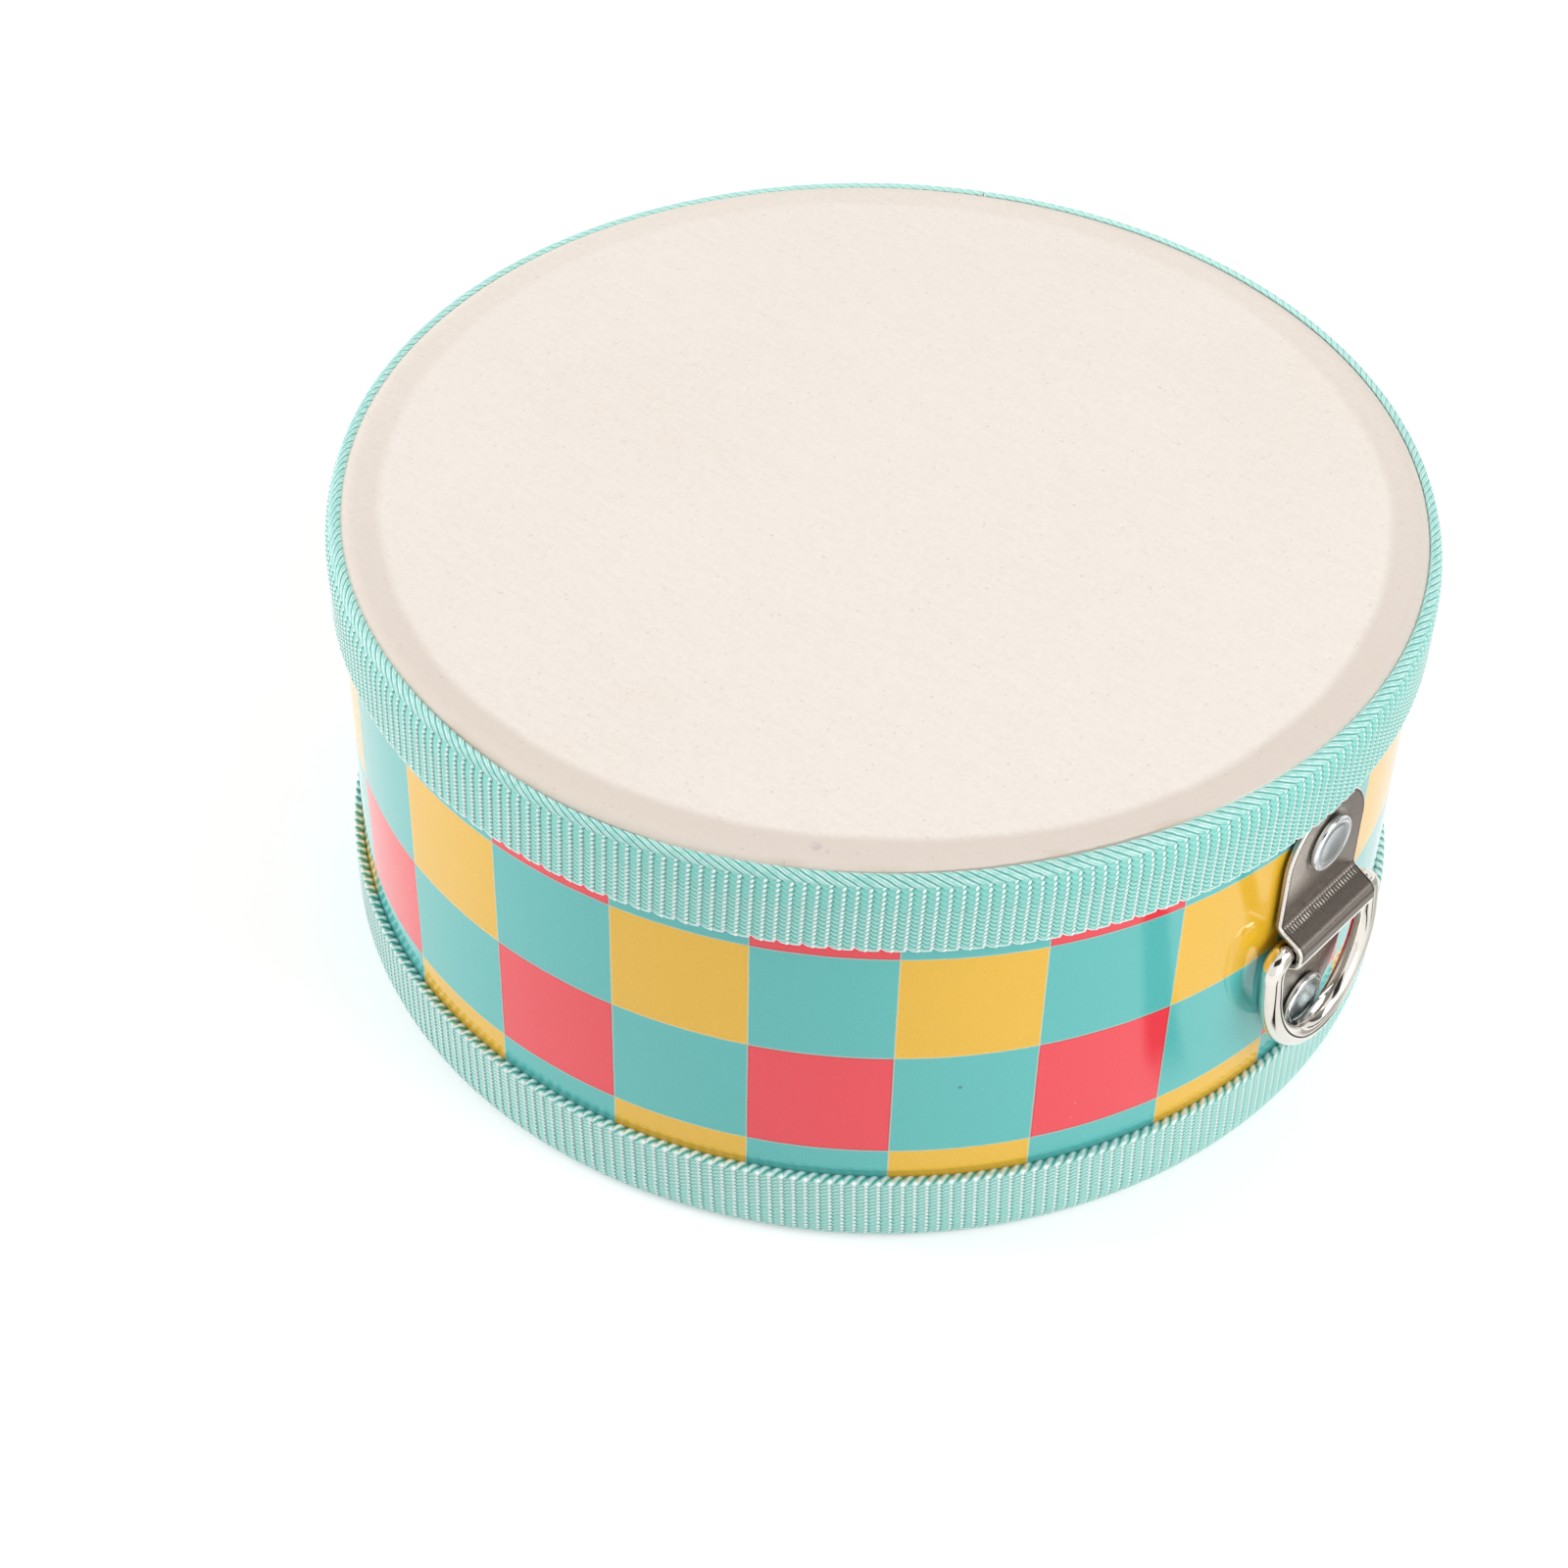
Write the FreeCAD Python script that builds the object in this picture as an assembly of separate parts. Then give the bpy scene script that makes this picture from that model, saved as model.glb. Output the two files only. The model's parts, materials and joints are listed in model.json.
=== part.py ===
import FreeCAD, Part
import math
import os

# Small two-headed hand drum with a printed wrap, woven edge bands and two riveted strap rings.
# Millimetres. The drum stands on its lower head: +Z is up and the origin is the middle of the
# lower head's outer face. The strap hangers sit on +X and -X. All places on a hanger are worked
# out at +X, where X is the distance from the drum's axis, and a half turn gives the other one.

# Driving sizes
overall_height = 68.7
wrap_outer_radius = 75.0
wall_thickness = 5.75
lay_gap = 0.05            # clearance between layers that lie on each other
cut_overrun = 2.0         # how far every cutting body runs past what it cuts

# Heads: a dry hide bent over the shell's rounded edge
hide_thickness = 0.35
hide_bend_radius = 2.7    # inner radius of the hide's bend
hide_skirt_depth = 6.8    # from the head's outer face to the skirt's cut edge

# Wooden shell
shell_edge_radius = 2.4   # outer corner that carries the hide
shell_inner_bevel = 0.8

# Printed film round the shell
film_thickness = 0.2
film_margin = 0.4         # film ends this far short of the hide's bend
film_seam_gap = 0.2
seam_angle = 128.0        # film seam, degrees from +X about Z

# Woven bands over the skirts
band_standoff = 1.42      # band's outer face outside the wrap
band_depth = 11.95        # from the inner selvage to the outer one, along Z
band_setback = 0.35       # selvage stays this far below the head's face
band_lean_height = 3.36   # height of the part that leans inwards
band_tip_inset = 0.2      # where the leaning selvage ends, inside the wrap's outer face
band_selvage_round = 0.5
band_butt_gap = 0.3
band_butt_angle = 118.0   # where the band's ends meet, degrees from +X about Z

# Strap hanger: one bent strip that holds the ring's bar
sheet_thickness = 1.0
hanger_half_width = 8.6
bar_share = 0.5646        # ring bar's place in the wall between the two bands
bar_standoff = 2.25       # ring bar's centre outside the wrap
loop_clearance = 0.08     # running clearance between the loop and the ring's bar
roof_angle = 27.0         # slope of the loop's two flanks, in degrees
foot_bend_radius = 1.3    # middle radius where a flank meets a tab
crest_bend_radius = 1.25  # middle radius at the loop's outer corners
upper_tab_tuck = 2.2      # how far the upper tip reaches under the upper band
lower_tip_share = 0.0998  # lower tab's tip, in the wall between the two bands
taper_share = 0.6         # narrowing part of the lower tab, as a share of its length

# Tubular rivets and their inner washers
upper_rivet_drop = 5.5    # upper rivet's centre below the upper band's edge
lower_rivet_share = 0.1973  # lower rivet's place in the wall between the two bands
shank_radius = 2.0
hole_clearance = 0.05
head_radius = 4.1
head_rim = 0.7
head_crown = 1.0
head_edge_round = 0.3
bore_radius = 1.3
bore_depth = 3.2
washer_radius = 4.6
washer_thickness = 0.7
roll_radius = 3.1
roll_height = 0.8

# Strap ring: bent round wire whose ends meet in the middle of the bar
wire_radius = 1.575
ring_side_gap = 2.6       # from the hanger's edge to the wire's centre beside it
ring_corner_radius = 2.35
ring_leg_end = 5.5        # straight legs end this far from the bar
ring_reach = 19.3         # from the bar to the middle of the bow
bow_end_radius = 8.8
ring_rest_gap = 0.106     # from the lower rivet's crown out to the wire at rest
ring_butt_gap = 0.3


def vec(x, y, z):
    return FreeCAD.Vector(x, y, z)


origin = vec(0, 0, 0)
x_dir = vec(1, 0, 0)
y_dir = vec(0, 1, 0)
z_dir = vec(0, 0, 1)

# Radii of the layers, from the outside in and then out again
film_inner_radius = wrap_outer_radius - film_thickness
shell_outer_radius = film_inner_radius - lay_gap
shell_inner_radius = shell_outer_radius - wall_thickness
skirt_inner_radius = wrap_outer_radius + lay_gap
skirt_outer_radius = skirt_inner_radius + hide_thickness
bend_centre_radius = skirt_inner_radius - hide_bend_radius
bend_centre_depth = hide_thickness + hide_bend_radius
band_outer_radius = wrap_outer_radius + band_standoff
band_tip_radius = wrap_outer_radius - band_tip_inset
middle_height = overall_height / 2
shell_end_depth = hide_thickness + lay_gap
lower_band_edge = band_setback + band_depth
upper_band_edge = overall_height - lower_band_edge


def line(a, b):
    return Part.makeLine(a, b)


def arc(centre, radius, start, end):
    """Arc in the XZ plane through its middle, angles in degrees from +X towards +Z."""
    points = []
    for angle in (start, (start + end) / 2, end):
        a = math.radians(angle)
        points.append(centre + vec(radius * math.cos(a), 0, radius * math.sin(a)))
    return Part.Arc(*points).toShape()


def face_of(edges):
    return Part.Face(Part.Wire(edges))


def turned(edges):
    """Solid of revolution about Z of a closed outline in the XZ plane."""
    return face_of(edges).revolve(origin, z_dir, 360)


def ends(edge):
    return edge.valueAt(edge.FirstParameter), edge.valueAt(edge.LastParameter)


def joined(pieces):
    """Closed edge list: the pieces in order, with straight lines where two don't meet."""
    edges = []
    for index, piece in enumerate(pieces):
        edges.append(piece)
        tail = ends(piece)[1]
        head = ends(pieces[(index + 1) % len(pieces)])[0]
        if (tail - head).Length > Part.Precision.confusion():
            edges.append(line(tail, head))
    return edges


def mirrored_up(shape):
    """The upper copy of a piece that is drawn at the lower head."""
    return shape.mirror(vec(0, 0, middle_height), z_dir)


def slot_cut(angle, width, inner, outer, low, high):
    """Radial slit at an angle about Z, for a seam."""
    length = outer - inner + cut_overrun * 2
    box = Part.makeBox(length, width, high - low + cut_overrun * 2,
                       vec(inner - cut_overrun, -width / 2, low - cut_overrun))
    box.rotate(origin, z_dir, angle)
    return box


# Hanger places at +X


def wall_height(share):
    """Height of a place between the bands' edges, from 0 at the lower one to 1."""
    return lower_band_edge + (upper_band_edge - lower_band_edge) * share


bar_x = wrap_outer_radius + bar_standoff
bar_height = wall_height(bar_share)
upper_tab_height = upper_band_edge + upper_tab_tuck - hanger_half_width
lower_tip_height = wall_height(lower_tip_share)
taper_length = (bar_height - lower_tip_height) * taper_share
rivet_heights = {
    "upper": upper_band_edge - upper_rivet_drop,
    "lower": wall_height(lower_rivet_share),
}
tab_inner_x = wrap_outer_radius + lay_gap
tab_middle_x = tab_inner_x + sheet_thickness / 2
tab_outer_x = tab_inner_x + sheet_thickness
rivet_seat_x = tab_outer_x + lay_gap / 2


def radial_hole(radius, height):
    """Drill along X at one hanger, from inside the shell to outside the rings."""
    length = wall_thickness + film_thickness + bar_standoff + cut_overrun * 4
    start = shell_inner_radius - cut_overrun * 2
    return Part.makeCylinder(radius, length, vec(start, 0, height), x_dir)


def both_sides(shape):
    """The shape and its half-turned copy on the other hanger."""
    other = shape.copy()
    other.rotate(origin, z_dir, 180)
    return shape, other


def rivet_drills():
    drills = []
    for height in rivet_heights.values():
        drills.extend(both_sides(radial_hole(shank_radius + hole_clearance, height)))
    return drills


def make_shell():
    low = shell_end_depth
    high = overall_height - shell_end_depth
    outer = shell_outer_radius - shell_edge_radius
    inner = shell_inner_radius + shell_inner_bevel
    edges = joined([
        arc(vec(outer, 0, low + shell_edge_radius), shell_edge_radius, -90, 0),
        arc(vec(outer, 0, high - shell_edge_radius), shell_edge_radius, 0, 90),
        line(vec(inner, 0, high), vec(shell_inner_radius, 0, high - shell_inner_bevel)),
        line(vec(shell_inner_radius, 0, low + shell_inner_bevel), vec(inner, 0, low)),
    ])
    return turned(edges).cut(rivet_drills())


def make_wrap():
    low = bend_centre_depth + film_margin
    high = overall_height - low
    tube = Part.makeCylinder(wrap_outer_radius, high - low, vec(0, 0, low))
    tube = tube.cut(Part.makeCylinder(film_inner_radius, high - low + cut_overrun * 2,
                                      vec(0, 0, low - cut_overrun)))
    seam = slot_cut(seam_angle, film_seam_gap, film_inner_radius, wrap_outer_radius, low, high)
    return tube.cut(rivet_drills() + [seam])


def make_lower_head():
    centre = vec(bend_centre_radius, 0, bend_centre_depth)
    rim = vec(skirt_inner_radius, 0, hide_skirt_depth)
    edges = joined([
        line(origin, vec(bend_centre_radius, 0, 0)),
        arc(centre, bend_centre_depth, -90, 0),
        line(rim + x_dir * hide_thickness, rim),
        arc(centre, hide_bend_radius, 0, -90),
        line(vec(bend_centre_radius, 0, hide_thickness), vec(0, 0, hide_thickness)),
    ])
    return turned(edges)


def lean_point(share):
    """Point on the leaning selvage's quarter ellipse, from the band's side to its tip."""
    angle = math.pi / 2 * share
    reach = band_outer_radius - band_tip_radius
    return vec(band_tip_radius + reach * math.cos(angle), 0,
               band_setback + band_lean_height * (1 - math.sin(angle)))


def make_lower_band():
    """Band section: outside up from the tip, over the upper selvage, down over skirt and bend."""
    top = band_setback + band_depth
    lean = Part.BSplineCurve()
    lean_shares = (1.0, 0.8, 0.6, 0.4, 0.2, 0.0)
    lean.interpolate(Points=[lean_point(share) for share in lean_shares])
    under_radius = bend_centre_depth + lay_gap
    tip_cosine = (band_tip_radius - bend_centre_radius) / under_radius
    tip_angle = -math.degrees(math.acos(tip_cosine))
    ledge = hide_skirt_depth + lay_gap
    round_centre = vec(band_outer_radius - band_selvage_round, 0, top - band_selvage_round)
    edges = joined([
        lean.toShape(),
        arc(round_centre, band_selvage_round, 0, 90),
        line(vec(skirt_inner_radius, 0, top), vec(skirt_inner_radius, 0, ledge)),
        line(vec(skirt_outer_radius + lay_gap, 0, ledge),
             vec(skirt_outer_radius + lay_gap, 0, bend_centre_depth)),
        arc(vec(bend_centre_radius, 0, bend_centre_depth), under_radius, 0, tip_angle),
    ])
    butt = slot_cut(band_butt_angle, band_butt_gap, band_tip_radius, band_outer_radius, 0, top)
    return turned(edges).cut(butt)


# Strap ring: it hangs on its bar with the bow resting in front of the lower rivet's crown
ring_half_width = hanger_half_width + ring_side_gap
bow_x = rivet_seat_x + head_crown + ring_rest_gap + wire_radius
ring_lean = math.degrees(math.asin((bow_x - bar_x) / ring_reach))

# Bent strip: the loop's corners, worked out from the bar that it holds
loop_middle_radius = wire_radius + loop_clearance + sheet_thickness / 2
foot_inset = bar_x - tab_middle_x


def flank_height(offset):
    """Height above the bar of the upper flank's middle line, at an X offset from the bar."""
    slope = math.radians(roof_angle)
    return (loop_middle_radius - offset * math.sin(slope)) / math.cos(slope)


def strip_corners():
    foot = flank_height(-foot_inset)
    crest = flank_height(loop_middle_radius)
    crest_x = bar_x + loop_middle_radius
    rows = [(tab_middle_x, foot), (crest_x, crest), (crest_x, -crest), (tab_middle_x, -foot)]
    bends = [vec(x, 0, bar_height + z) for x, z in rows]
    far = vec(tab_middle_x, 0, upper_tab_height + hanger_half_width)
    return [far] + bends + [vec(tab_middle_x, 0, lower_tip_height)]


def offset_corners(corners, distance):
    """Mitred offset of an open corner line to the left of its direction in the XZ plane."""
    result = []
    for index, point in enumerate(corners):
        normals = []
        for a, b in ((index - 1, index), (index, index + 1)):
            if a >= 0 and b < len(corners):
                along = (corners[b] - corners[a]).normalize()
                normals.append(vec(-along.z, 0, along.x))
        total = normals[0] + normals[-1]
        result.append(point + total * (2 * distance / total.dot(total)))
    return result


def filleted_run(corners, radii):
    """Lines and tangent arcs through the corners; radii belong to the inner corners."""
    edges = []
    start = corners[0]
    for index in range(1, len(corners) - 1):
        before = (corners[index - 1] - corners[index]).normalize()
        after = (corners[index + 1] - corners[index]).normalize()
        half = before.getAngle(after) / 2
        radius = radii[index - 1]
        setback = radius / math.tan(half)
        a = corners[index] + before * setback
        b = corners[index] + after * setback
        bisector = (before + after).normalize()
        centre = corners[index] + bisector * (radius / math.sin(half))
        middle = centre - bisector * radius
        edges.append(line(start, a))
        edges.append(Part.Arc(a, middle, b).toShape())
        start = b
    edges.append(line(start, corners[-1]))
    return edges


def strip_section():
    """Closed outline of the bent strip in the XZ plane."""
    corners = strip_corners()
    half = sheet_thickness / 2
    middle_radii = [foot_bend_radius, crest_bend_radius, crest_bend_radius, foot_bend_radius]
    turns = [1, -1, -1, 1]
    sides = []
    for side in (1, -1):
        radii = [r - side * turn * half for r, turn in zip(middle_radii, turns)]
        sides.append(filleted_run(offset_corners(corners, side * half), radii))
    left, right = sides
    cap_far = line(ends(left[-1])[1], ends(right[-1])[1])
    cap_near = line(ends(right[0])[0], ends(left[0])[0])
    return face_of(left + [cap_far] + right[::-1] + [cap_near])


def tab_outline():
    """Front outline of the hanger in the YZ plane, as a solid that runs through it along X."""
    start = tab_inner_x - cut_overrun
    upper = upper_tab_height
    lower = lower_tip_height + taper_length
    w = hanger_half_width
    top = Part.Arc(vec(start, w, upper), vec(start, 0, upper + w), vec(start, -w, upper)).toShape()
    bottom = Part.Arc(vec(0, w, 0), vec(0, 0, -w), vec(0, -w, 0)).toShape()
    stretch = FreeCAD.Matrix()
    stretch.scale(1, 1, taper_length / w)
    bottom = bottom.transformGeometry(stretch)
    bottom.translate(vec(start, 0, lower))
    sides = [line(vec(start, y, lower), vec(start, y, upper)) for y in (w, -w)]
    wire = Part.Wire(Part.__sortEdges__([top, bottom] + sides))
    depth = bar_x + loop_middle_radius + sheet_thickness - start + cut_overrun
    return Part.Face(wire).extrude(x_dir * depth)


def make_hanger_plate():
    half = hanger_half_width + cut_overrun
    strip = strip_section().extrude(y_dir * half * 2)
    strip.translate(y_dir * -half)
    plate = strip.common(tab_outline())
    holes = [radial_hole(shank_radius + hole_clearance, h) for h in rivet_heights.values()]
    return plate.cut(holes).removeSplitter()


def make_rivet(height):
    """Tubular rivet on the X axis: crowned head outside, shank, end rolled over inside."""
    seat = rivet_seat_x
    crown = seat + head_crown
    rim = seat + head_rim
    washer_inner = washer_seat() - washer_thickness
    tail = washer_inner - roll_height
    rise = head_crown - head_rim
    flat = head_radius - head_edge_round
    bulge = (flat * flat + rise * rise) / (rise * 2)
    middle_angle = math.asin(flat / bulge) / 2
    crown_middle = vec(crown - bulge * (1 - math.cos(middle_angle)), 0,
                       bulge * math.sin(middle_angle))
    edge_turn = vec(seat + head_rim - head_edge_round, 0, flat)
    edges = joined([
        Part.Arc(vec(crown, 0, 0), crown_middle, vec(rim, 0, flat)).toShape(),
        arc(edge_turn, head_edge_round, 0, 90),
        line(vec(seat, 0, head_radius), vec(seat, 0, shank_radius)),
        line(vec(washer_inner, 0, shank_radius), vec(washer_inner, 0, roll_radius)),
        Part.Arc(vec(washer_inner, 0, roll_radius),
                 vec(tail, 0, (roll_radius + bore_radius) / 2),
                 vec(washer_inner, 0, bore_radius)).toShape(),
        line(vec(tail + bore_depth, 0, bore_radius), vec(tail + bore_depth, 0, 0)),
    ])
    solid = face_of(edges).revolve(origin, x_dir, 360)
    solid.translate(vec(0, 0, height))
    return solid


def washer_seat():
    """X of the washer's outer face: a flat washer bridges the shell's hollow inner wall."""
    return math.sqrt(shell_inner_radius ** 2 - washer_radius ** 2) - lay_gap


def make_washer(height):
    face_x = washer_seat()
    inner_x = face_x - washer_thickness
    disc = Part.makeCylinder(washer_radius, washer_thickness, vec(inner_x, 0, height), x_dir)
    return disc.cut(radial_hole(shank_radius + hole_clearance, height))


def ring_half_path():
    """Right half of the ring's centre line, from the bar's middle to the bow's middle."""
    w = ring_half_width
    rc = ring_corner_radius
    rise = ring_reach - ring_leg_end
    side = (w ** 2 + rise ** 2 - 2 * rise * bow_end_radius) / (2 * (w - bow_end_radius))
    side_centre = vec(w - side, 0, -ring_leg_end)
    end_centre = vec(0, 0, bow_end_radius - ring_reach)
    meet_angle = math.degrees(math.atan2(end_centre.z - side_centre.z, -side_centre.x))
    return [
        line(origin, vec(w - rc, 0, 0)),
        arc(vec(w - rc, 0, -rc), rc, 90, 0),
        line(vec(w, 0, -rc), vec(w, 0, -ring_leg_end)),
        arc(side_centre, side, 0, meet_angle),
        arc(end_centre, bow_end_radius, meet_angle, -90),
    ]


def make_d_ring():
    """Wire ring drawn in the XZ plane, then stood on its bar and leaned out to rest."""
    half = ring_half_path()
    mirrored = [edge.mirror(origin, x_dir) for edge in half]
    path = Part.Wire(Part.__sortEdges__(half + mirrored))
    section = Part.Wire(Part.makeCircle(wire_radius, origin, x_dir))
    ring = path.makePipeShell([section], True, False)
    reach = wire_radius + cut_overrun
    gap = Part.makeBox(ring_butt_gap, reach * 2, reach * 2,
                       vec(-ring_butt_gap / 2, -reach, -reach))
    ring = ring.cut(gap)
    ring.rotate(origin, z_dir, 90)
    ring.rotate(origin, y_dir, -ring_lean)
    ring.translate(vec(bar_x, 0, bar_height))
    return ring


def tab_pocket():
    """Room that the hanger's upper tip takes under the edge of the upper band."""
    start = wrap_outer_radius - cut_overrun
    length = tab_outer_x + lay_gap - start
    radius = hanger_half_width + lay_gap
    return Part.makeCylinder(radius, length, vec(start, 0, upper_tab_height), x_dir)


pieces = {
    "shell": make_shell(),
    "wrap": make_wrap(),
    "head_bottom": make_lower_head(),
    "head_top": mirrored_up(make_lower_head()),
    "webbing_bottom": make_lower_band(),
    "webbing_top": mirrored_up(make_lower_band()).cut(list(both_sides(tab_pocket()))),
}


def add_pair(name, shape):
    right, left = both_sides(shape)
    pieces[name + "_right"] = right
    pieces[name + "_left"] = left


add_pair("hanger_plate", make_hanger_plate())
add_pair("d_ring", make_d_ring())
for level, rivet_height in rivet_heights.items():
    add_pair("rivet_" + level, make_rivet(rivet_height))
    add_pair("washer_" + level, make_washer(rivet_height))

os.makedirs("parts", exist_ok=True)
for node, solid in pieces.items():
    solid.exportStep(os.path.join("parts", node + ".step"))
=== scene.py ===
"""Hand drum: two hide heads on a wooden shell, a printed check film, ribbed edge bands and two
riveted strap hangers with D-rings. Lengths are in millimetres until a mesh or a material is made."""

import json
import math

import bmesh
import bpy
import numpy as np
from mathutils import Matrix, Vector


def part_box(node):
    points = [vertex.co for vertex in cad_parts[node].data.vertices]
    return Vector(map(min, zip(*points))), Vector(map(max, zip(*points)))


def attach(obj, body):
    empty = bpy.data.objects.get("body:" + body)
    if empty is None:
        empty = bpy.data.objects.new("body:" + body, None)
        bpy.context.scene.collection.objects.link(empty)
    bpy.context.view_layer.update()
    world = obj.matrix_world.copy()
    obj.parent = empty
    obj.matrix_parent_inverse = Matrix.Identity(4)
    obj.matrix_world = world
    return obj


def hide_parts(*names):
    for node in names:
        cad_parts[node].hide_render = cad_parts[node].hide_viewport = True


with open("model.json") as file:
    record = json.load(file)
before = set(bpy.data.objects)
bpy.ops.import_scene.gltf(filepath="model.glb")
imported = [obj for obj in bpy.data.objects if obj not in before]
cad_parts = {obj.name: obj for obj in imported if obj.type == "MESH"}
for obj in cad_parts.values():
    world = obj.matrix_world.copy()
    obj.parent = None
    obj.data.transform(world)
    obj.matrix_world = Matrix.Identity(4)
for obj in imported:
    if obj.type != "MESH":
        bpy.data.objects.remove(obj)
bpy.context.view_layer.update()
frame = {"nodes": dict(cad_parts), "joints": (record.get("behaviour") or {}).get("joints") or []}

MM = 0.001


# Sizes from the frame
def node_box(name):
    low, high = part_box(name)
    return np.array(low) / MM, np.array(high) / MM


HEIGHT = node_box("head_top")[1][2]
WRAP_R = node_box("wrap")[1][0]
WRAP_LOW, WRAP_HIGH = node_box("wrap")[0][2], node_box("wrap")[1][2]
BAND_R = node_box("webbing_bottom")[1][0]
BAND_EDGE = node_box("webbing_bottom")[1][2]
SKIRT_DEPTH = node_box("head_bottom")[1][2]
PLATE_LOW, PLATE_HIGH = node_box("hanger_plate_right")
RIVET_LOW, RIVET_HIGH = node_box("rivet_upper_right")
RING_LOW, RING_HIGH = node_box("d_ring_right")
bar_pos = next(j for j in frame["joints"] if j["name"] == "ring_right_swing")["pos_m"]
BAR_X, BAR_Z = bar_pos[0] / MM, bar_pos[2] / MM

# Layers of the wall
LAY_GAP = 0.05
HIDE = 0.35
HIDE_BEND = 2.7  # inner radius of the hide's bend over the edge
SKIRT_R = WRAP_R + LAY_GAP
BEND_R = SKIRT_R - HIDE_BEND
BEND_DEPTH = HIDE + HIDE_BEND
SHELL_WALL = 5.75
FILM = 0.2
SEAM_AZ, BUTT_AZ = 128.0, 118.0
FILM_SEAM, BAND_BUTT = 0.2, 0.3


# Mesh helpers
def new_object(name, data):
    obj = bpy.data.objects.new(name, data)
    bpy.context.scene.collection.objects.link(obj)
    return obj


def make_object(name, verts, faces, **attributes):
    """Smooth mesh object from millimetre vertices, arrays of quads or triangles, and point values."""
    mesh = bpy.data.meshes.new(name)
    verts = np.asarray(verts, float).reshape(-1, 3) * MM
    groups = [np.asarray(group, np.int32) for group in faces]
    counts = np.concatenate([np.full(len(group), group.shape[1], np.int32) for group in groups])
    loops = np.concatenate([group.ravel() for group in groups])
    mesh.vertices.add(len(verts))
    mesh.vertices.foreach_set("co", verts.astype(np.float32).ravel())
    mesh.loops.add(len(loops))
    mesh.loops.foreach_set("vertex_index", loops)
    mesh.polygons.add(len(counts))
    starts = np.concatenate([[0], np.cumsum(counts)[:-1]]).astype(np.int32)
    mesh.polygons.foreach_set("loop_start", starts)
    mesh.polygons.foreach_set("use_smooth", np.ones(len(counts), bool))
    mesh.update(calc_edges=True)
    mesh.validate()
    for key, values in attributes.items():
        layer = mesh.attributes.new(key, "FLOAT", "POINT")
        layer.data.foreach_set("value", np.asarray(values, np.float32).ravel())
    return new_object(name, mesh)


def make_sheet(name, half_width, half_length):
    """Flat rectangle about the origin."""
    w, h = half_width, half_length
    return make_object(name, [(-w, -h, 0), (w, -h, 0), (w, h, 0), (-w, h, 0)], [[[0, 1, 2, 3]]])


def grid_quads(nu, nv, wrap_u=False, wrap_v=False):
    """Quads of an nu by nv grid of vertices, counter-clockwise seen from u cross v."""
    i = np.arange(nu if wrap_u else nu - 1)
    j = np.arange(nv if wrap_v else nv - 1)
    i, j = np.meshgrid(i, j, indexing="ij")
    i2, j2 = (i + 1) % nu, (j + 1) % nv
    quads = np.stack([i * nv + j, i2 * nv + j, i2 * nv + j2, i * nv + j2], -1)
    return quads.reshape(-1, 4)


def tube(ring):
    """Vertices and faces of a row of closed sections, with a fan of triangles over each end."""
    sections, nv = ring.shape[:2]
    verts = np.concatenate([ring.reshape(-1, 3), ring[0].mean(0)[None], ring[-1].mean(0)[None]])
    middle = sections * nv
    j = np.arange(nv)
    beside = (j + 1) % nv
    start = np.stack([np.full(nv, middle), beside, j], -1)
    last = (sections - 1) * nv
    end = np.stack([last + j, last + beside, np.full(nv, middle + 1)], -1)
    return verts, [grid_quads(sections, nv, wrap_v=True), start, end]


def turned_round(faces):
    return [group[:, ::-1] for group in faces]


def merge_close(obj, distance):
    bm = bmesh.new()
    bm.from_mesh(obj.data)
    bmesh.ops.remove_doubles(bm, verts=bm.verts, dist=distance)
    bmesh.ops.dissolve_degenerate(bm, edges=bm.edges, dist=distance * 0.1)
    bmesh.ops.holes_fill(bm, edges=[e for e in bm.edges if e.is_boundary], sides=0)
    bmesh.ops.recalc_face_normals(bm, faces=bm.faces)
    for face in bm.faces:
        face.smooth = True
    bm.to_mesh(obj.data)
    bm.free()


def polar(radius, azimuth, z):
    """Points from radius and z in one unit and azimuth in radians."""
    radius, azimuth, z = np.broadcast_arrays(radius, azimuth, z)
    return np.stack([radius * np.cos(azimuth), radius * np.sin(azimuth), z], -1)


def other_side(verts, side):
    """Vertices turned half round the drum's axis for the left side."""
    return verts * np.array([-1, -1, 1]) if side < 0 else verts


def waves(x, seed, count, low, high):
    """Smooth repeatable wander, about -1 to 1, of whole periods over x from 0 to 2 pi."""
    own = np.random.default_rng(seed)
    total = np.zeros_like(x, float)
    for _ in range(count):
        size, periods = own.uniform(0.4, 1), int(own.integers(low, high + 1))
        total = total + size * np.sin(periods * x + own.uniform(0, 2 * math.pi))
    return total / count


def finish_piece(obj, material, body, node):
    obj.data.materials.append(material)
    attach(obj, body)
    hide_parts(node)


# Material helpers
def srgb(r, g, b):
    """Linear colour from 0 to 255 display values."""
    out = []
    for c in (r / 255, g / 255, b / 255):
        out.append(c / 12.92 if c <= 0.04045 else ((c + 0.055) / 1.055) ** 2.4)
    return (*out, 1.0)


class Value:
    """Output of a node, with the signs of arithmetic."""

    def __init__(self, shade, socket):
        self.math, self.socket = shade.math, socket

    def __add__(self, other):
        return self.math("ADD", self, other)

    def __sub__(self, other):
        return self.math("SUBTRACT", self, other)

    def __rsub__(self, other):
        return self.math("SUBTRACT", other, self)

    def __mul__(self, other):
        return self.math("MULTIPLY", self, other)

    def __abs__(self):
        return self.math("ABSOLUTE", self)


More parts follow.
